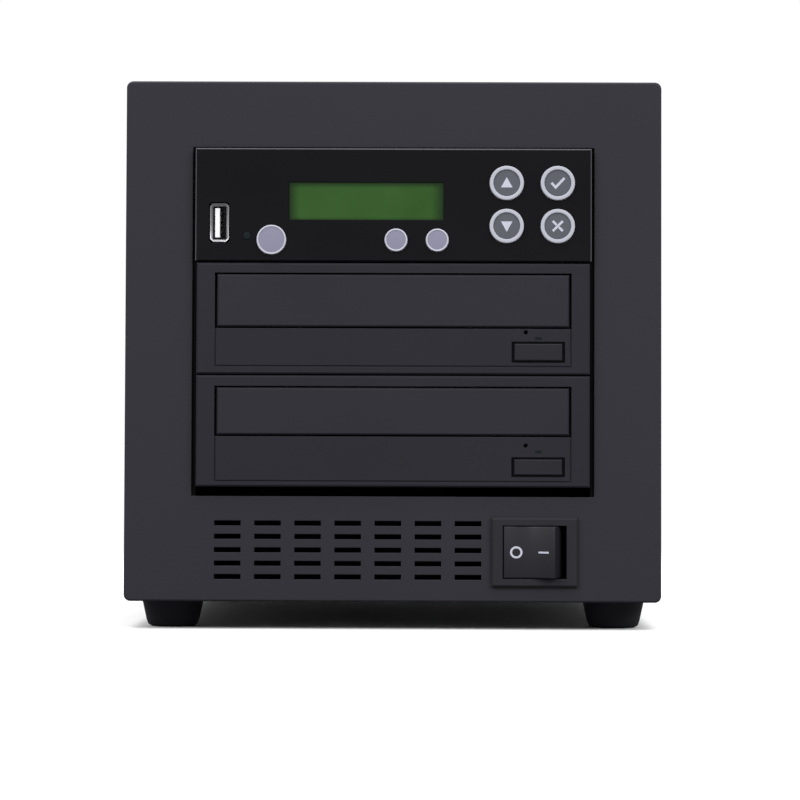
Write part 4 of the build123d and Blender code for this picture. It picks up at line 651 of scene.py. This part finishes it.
ROCKER_REST = math.radians(-12)
ROCKER_REACH = 7.7 * MM
ROCKER_RISE = 2.5 * MM
ROCKER_FACE_HALF = 9.7 * MM
ROCKER_HALF_HEIGHT = 9.7 * MM
ROCKER_STEPS = 14
ROCKER_SIDES = ((11.2 * MM, 3.0 * MM), (3.0 * MM, 5.0 * MM))
ROCKER_EDGE = 0.45 * MM
ROCKER_SMOOTH = 30
ROCKER_PIN = 1.2 * MM
ROCKER_PIN_UP = 9.3 * MM
ROCKER_PIN_SEGMENTS = 24
MARK_OFFSET = 5.2 * MM
RING_INNER, RING_OUTER, RING_THICK = 1.5 * MM, 2.25 * MM, 0.25 * MM
RING_SEGMENTS = 48
BAR_HALF_WIDTH, BAR_HALF_HEIGHT, BAR_BACK = 2.05 * MM, 0.34 * MM, 0.2 * MM
BAR_EDGE = 0.02 * MM


def rocker_face(x):
    """Distance of the hollow face in front of the pivot, at x from the middle."""
    return ROCKER_REACH + ROCKER_RISE * (abs(x) / ROCKER_FACE_HALF) ** 1.5


def rocker():
    """Rocker with a smoothly hollowed face, rounded edges, a ring on its left and a bar on its
    right half."""
    joint = next(j for j in frame["joints"] if j["child"] == "power_rocker")
    pivot = Vector(joint["pos_m"])
    rest = Matrix.Translation(pivot) @ Matrix.Rotation(ROCKER_REST, 4, "Z")
    plastic = MATERIALS["rocker_plastic"]
    across = [ROCKER_FACE_HALF * i / ROCKER_STEPS for i in range(-ROCKER_STEPS, ROCKER_STEPS + 1)]
    profile = [(x, -rocker_face(x)) for x in across]
    profile += list(ROCKER_SIDES) + [(-x, y) for x, y in reversed(ROCKER_SIDES)]
    work = extruded([(x, y, -ROCKER_HALF_HEIGHT) for x, y in profile],
                    (0, 0, 2 * ROCKER_HALF_HEIGHT))
    sharp = [e for e in work.edges if e.calc_face_angle(0) > math.radians(SMOOTH_ANGLE)]
    bevel_edges(work, sharp, ROCKER_EDGE, 3)
    body = finish_piece("rocker_body", work, plastic)
    body.data.transform(rest)
    clean(body, ROCKER_SMOOTH)
    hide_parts("power_rocker")
    belong(body, "power_rocker")
    pin_profile = [(0, 0), (ROCKER_PIN, 0), (ROCKER_PIN, ROCKER_PIN), (0, ROCKER_PIN)]
    for sign in (-1, 1):
        place = (pivot.x, pivot.y, pivot.z + sign * ROCKER_PIN_UP)
        pin = lathe(f"rocker_pin_{sign + 1}", pin_profile, place, (0, 0, sign), plastic,
                    ROCKER_PIN_SEGMENTS)
        belong(pin, "power_rocker")
    ring_profile = [(RING_INNER, 0), (RING_OUTER, 0), (RING_OUTER, -RING_THICK),
                    (RING_INNER, -RING_THICK), (RING_INNER, 0)]
    ring = lathe("rocker_ring", ring_profile, (0, -PRINT, 0), FORWARD, MATERIALS["white_print"],
                 RING_SEGMENTS, ROCKER_SMOOTH)
    bar = box_piece("rocker_bar", (-BAR_HALF_WIDTH, -PRINT, -BAR_HALF_HEIGHT),
                    (BAR_HALF_WIDTH, BAR_BACK, BAR_HALF_HEIGHT), MATERIALS["white_print"], BAR_EDGE)
    for mark, x in ((ring, -MARK_OFFSET), (bar, MARK_OFFSET)):
        for vertex in mark.data.vertices:
            vertex.co.x += x
            vertex.co.y -= rocker_face(vertex.co.x)
        mark.data.transform(rest)
        belong(mark, "power_rocker")


rocker()


# ---------------------------------------------------------------- lamps of the drives

LAMP_X = 54.7 * MM
LAMP_DOWN = {1: 28.3 * MM, 2: 28.5 * MM}
LAMP_HALF_WIDTH, LAMP_HALF_HEIGHT = 1.15 * MM, 0.45 * MM
LAMP_NEAR, LAMP_FAR = 0.1 * MM, 0.35 * MM
LAMP_EDGE = 0.08 * MM


def drive_lamp(number, down):
    """The dark lens in the bezel's lamp recess."""
    low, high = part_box(f"drive_bezel_{number}")
    z = high.z - down
    lens = box_piece(f"drive_lamp_{number}",
                     (LAMP_X - LAMP_HALF_WIDTH, low.y + LAMP_NEAR, z - LAMP_HALF_HEIGHT),
                     (LAMP_X + LAMP_HALF_WIDTH, low.y + LAMP_FAR, z + LAMP_HALF_HEIGHT),
                     MATERIALS["lamp_lens"], LAMP_EDGE)
    belong(lens, "case")


for drive_number, lamp_down in LAMP_DOWN.items():
    drive_lamp(drive_number, lamp_down)


# ---------------------------------------------------------------- screws

HEAD_SIDE = 0.35                 # straight part of a head's height
HEAD_SEGMENTS = 40
HEAD_SMOOTH = 40
SLOT_HALF_LENGTH, SLOT_HALF_WIDTH = 0.55, 0.13       # shares of the head's radius
SLOT_LOW, SLOT_HIGH = 0.9, 1.02                      # shares of the head's height
SLOT_EDGE = 0.03 * MM
SLOT_TURN = 0.4
COVER_SCREW_INSET, FAN_SCREW_INSET, SUPPLY_SCREW_INSET = 5.5 * MM, 4.25 * MM, 5 * MM
COVER_SCREW_SHARES = (0.25, 0.75)
FOOT_SCREW_Z = 5.5 * MM


def pan_screw(name, place, axis, radius, height, material):
    """Cross-head pan screw: domed head whose cross recess is painted shade, dark bars standing on the dome."""
    profile = [(radius, 0), (radius, height * HEAD_SIDE)]
    for degrees in range(10, 91, 10):
        a = math.radians(degrees)
        profile.append((radius * math.cos(a),
                        height * (HEAD_SIDE + (1 - HEAD_SIDE) * math.sin(a))))
    head = lathe(name, profile, place, axis, material, HEAD_SEGMENTS, HEAD_SMOOTH)
    turn = UP.rotation_difference(Vector(axis)).to_matrix().to_4x4()
    length, width = radius * SLOT_HALF_LENGTH, radius * SLOT_HALF_WIDTH
    # painted shade: dark plastic bars stand for the shaded cross recess
    for i in (0, 1):
        recess_shade = box_piece(f"{name}_cross_{i}", (-length, -width, height * SLOT_LOW),
                        (length, width, height * SLOT_HIGH), MATERIALS["switch_plastic"], SLOT_EDGE)
        spin = Matrix.Rotation(math.pi / 2 * i + SLOT_TURN, 4, "Z")
        recess_shade.data.transform(Matrix.Translation(Vector(place)) @ turn @ spin)
        belong(recess_shade, "case")
    belong(head, "case")


def corner_places(low, high, inset):
    """(x, z) a little inside the corners: lower left, lower right, upper left, upper right."""
    left, right = low.x + inset, high.x - inset
    return [(x, z) for z in (low.z + inset, high.z - inset) for x in (left, right)]


def rear_screws():
    low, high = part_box("top_cover")
    side = high.x - COVER_SCREW_INSET
    places = [(sign * side, low.z + (high.z - low.z) * share)
              for sign in (-1, 1) for share in COVER_SCREW_SHARES]
    for i, (x, z) in enumerate(places):
        pan_screw(f"cover_screw_{i}", (x, high.y, z), REARWARD, 3.0 * MM, 0.9 * MM,
                  MATERIALS["black_screw"])
    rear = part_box("rear_panel")[1].y
    for i, (x, z) in enumerate(corner_places(*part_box("fan_frame"), FAN_SCREW_INSET)):
        pan_screw(f"fan_screw_{i}", (x, rear, z), REARWARD, 3.2 * MM, 1.6 * MM,
                  MATERIALS["black_screw"])
    lower_left, lower_right, _, upper_right = corner_places(*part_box("power_supply"),
                                                            SUPPLY_SCREW_INSET)
    for i, (x, z) in enumerate((lower_left, lower_right, upper_right)):
        pan_screw(f"supply_screw_{i}", (x, rear, z), REARWARD, 3.0 * MM, 1.5 * MM,
                  MATERIALS["zinc_screw"])


def foot_screws():
    for i, name in enumerate(n for n in nodes if n.startswith("foot_")):
        low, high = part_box(name)
        centre = (low + high) / 2
        pan_screw(f"foot_screw_{i}", (centre.x, centre.y, FOOT_SCREW_Z), (0, 0, -1), 3.2 * MM,
                  1.8 * MM, MATERIALS["zinc_screw"])


rear_screws()
foot_screws()


# ---------------------------------------------------------------- metal pins of the mains inlet

INLET_PINS = ((-7.0 * MM, -0.5 * MM), (0.0, 4.0 * MM), (7.0 * MM, -0.5 * MM))
INLET_PIN_HALF_WIDTH, INLET_PIN_HALF_HEIGHT = 1.0 * MM, 2.0 * MM
INLET_PIN_TIP, INLET_PIN_ROOT = 3.0 * MM, 17.0 * MM
PIN_SKIN = 0.03 * MM
PIN_EDGE = 0.02 * MM


def inlet_pins():
    """Thin metal skins over the pins that the inlet's body carries."""
    low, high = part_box("mains_inlet")
    x, z = centre_xz(low, high)
    half_w, half_h = INLET_PIN_HALF_WIDTH + PIN_SKIN, INLET_PIN_HALF_HEIGHT + PIN_SKIN
    root, tip = high.y - INLET_PIN_ROOT, high.y - INLET_PIN_TIP + PIN_SKIN
    for i, (side, up) in enumerate(INLET_PINS):
        pin = box_piece(f"inlet_pin_{i}", (x + side - half_w, root, z + up - half_h),
                        (x + side + half_w, tip, z + up + half_h), MATERIALS["bright_metal"],
                        PIN_EDGE)
        belong(pin, "case")


inlet_pins()


# ---------------------------------------------------------------- floor and light

FLOOR_HALF = 6
FLOOR_FADE = (0.35, 1.1)         # distances from the middle between which the floor fades
FLOOR_BOUNCE = srgb(120, 120, 122)
WORLD_FILL = 0.55


def white_floor():
    """Floor that the camera sees white and that throws less light back on the object."""
    material, tree, shader = new_material("floor_white")
    grain = spread(tree, noise(tree, 90 * MM, 2.0), 0.0, 1.0)
    white = mix_colours(tree, grain, srgb(246, 246, 247), srgb(250, 250, 250))
    path = tree.nodes.new("ShaderNodeLightPath")
    colour = mix_colours(tree, path.outputs["Is Camera Ray"], FLOOR_BOUNCE, white)
    set_inputs(tree, shader, Base_Color=colour, Roughness=0.75, Specular_IOR_Level=0.1)
    distance = calculate(tree, "LENGTH", position(tree), kind="ShaderNodeVectorMath")
    clear = tree.nodes.new("ShaderNodeBsdfTransparent")
    blend = tree.nodes.new("ShaderNodeMixShader")
    layers = (spread(tree, distance, 0.0, 1.0, *FLOOR_FADE), shader.outputs[0], clear.outputs[0])
    for socket, value in zip(blend.inputs, layers):
        connect(tree, socket, value)
    set_inputs(tree, tree.nodes["Material Output"], Surface=blend.outputs[0])
    f = FLOOR_HALF
    floor = mesh_piece("floor", [(-f, -f, 0), (f, -f, 0), (f, f, 0), (-f, f, 0)], [(0, 1, 2, 3)],
                       material)


def light_world():
    """White surroundings that light the object less than they look or mirror."""
    world = bpy.context.scene.world or bpy.data.worlds.new("world")
    bpy.context.scene.world = world
    world.use_nodes = True
    tree = world.node_tree
    path = tree.nodes.new("ShaderNodeLightPath")
    full = calculate(tree, "MAXIMUM", path.outputs["Is Camera Ray"],
                     path.outputs["Is Transmission Ray"])
    full = calculate(tree, "MAXIMUM", full, path.outputs["Is Glossy Ray"])
    strength = add(tree, "ShaderNodeMapRange", Value=full, To_Min=WORLD_FILL, To_Max=1.0)
    set_inputs(tree, tree.nodes["Background"], Color=(1.0, 1.0, 1.0, 1.0),
               Strength=strength.outputs["Result"])


def area_lamp(name, place, target, size, power):
    data = bpy.data.lights.new(name, "AREA")
    data.shape = "RECTANGLE"
    data.size, data.size_y = size
    data.energy = power
    lamp = bpy.data.objects.new(name, data)
    bpy.context.scene.collection.objects.link(lamp)
    lamp.location = place
    lamp.rotation_euler = (Vector(target) - Vector(place)).to_track_quat("-Z", "Y").to_euler()


low_corner, high_corner = cad_box
middle = (0, 0, (low_corner[2] + high_corner[2]) / 2)
white_floor()
light_world()
area_lamp("lamp_front_left", (-1.1, -1.5, 1.3), middle, (1.2, 1.2), 30)
area_lamp("lamp_front_right", (1.2, -1.4, 1.1), middle, (1.0, 1.0), 24)
area_lamp("lamp_top", (0, -0.1, 1.8), middle, (1.6, 1.6), 30)
area_lamp("lamp_back", (0.4, 1.7, 1.2), middle, (1.4, 1.0), 18)


# ---------------------------------------------------------------- camera

# The photograph looks at the front from a little to the right and a little below the middle
IMAGE_PIXELS = 800
BODY_WIDTH_PIXELS = 536.0
BODY_CENTRE_X_PIXEL = 393.3
OBJECT_CENTRE_Y_PIXEL = 355.0
CAMERA_DISTANCE = 1.4
CAMERA_RIGHT = 0.015
CAMERA_HEIGHT = 0.066
CAMERA_PITCH = math.radians(2.6)
CAMERA_ROLL = math.radians(0.2)
SENSOR = 36.0


def set_camera():
    low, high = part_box("front_panel")
    metres_per_pixel = (high.x - low.x) / BODY_WIDTH_PIXELS
    right = (IMAGE_PIXELS / 2 - BODY_CENTRE_X_PIXEL) * metres_per_pixel
    aim_z = CAMERA_HEIGHT + CAMERA_DISTANCE * math.tan(CAMERA_PITCH)
    target = Vector((right, low.y, aim_z))
    place = Vector((CAMERA_RIGHT, low.y - CAMERA_DISTANCE, CAMERA_HEIGHT))
    data = bpy.data.cameras.new("camera")
    data.sensor_fit = "HORIZONTAL"
    data.sensor_width = SENSOR
    data.lens = SENSOR * (target - place).length / (IMAGE_PIXELS * metres_per_pixel)
    below_aim = (aim_z - high_corner[2] / 2) / metres_per_pixel
    data.shift_y = (OBJECT_CENTRE_Y_PIXEL - IMAGE_PIXELS / 2 - below_aim) / IMAGE_PIXELS
    data.clip_start = 0.01
    data.clip_end = 50.0
    camera = bpy.data.objects.new("camera", data)
    bpy.context.scene.collection.objects.link(camera)
    camera.location = place
    aim = (target - place).to_track_quat("-Z", "Y")
    camera.rotation_euler = (aim.to_matrix() @ Matrix.Rotation(CAMERA_ROLL, 3, "Z")).to_euler()
    bpy.context.scene.camera = camera


set_camera()
bpy.context.scene.view_settings.view_transform = "Standard"
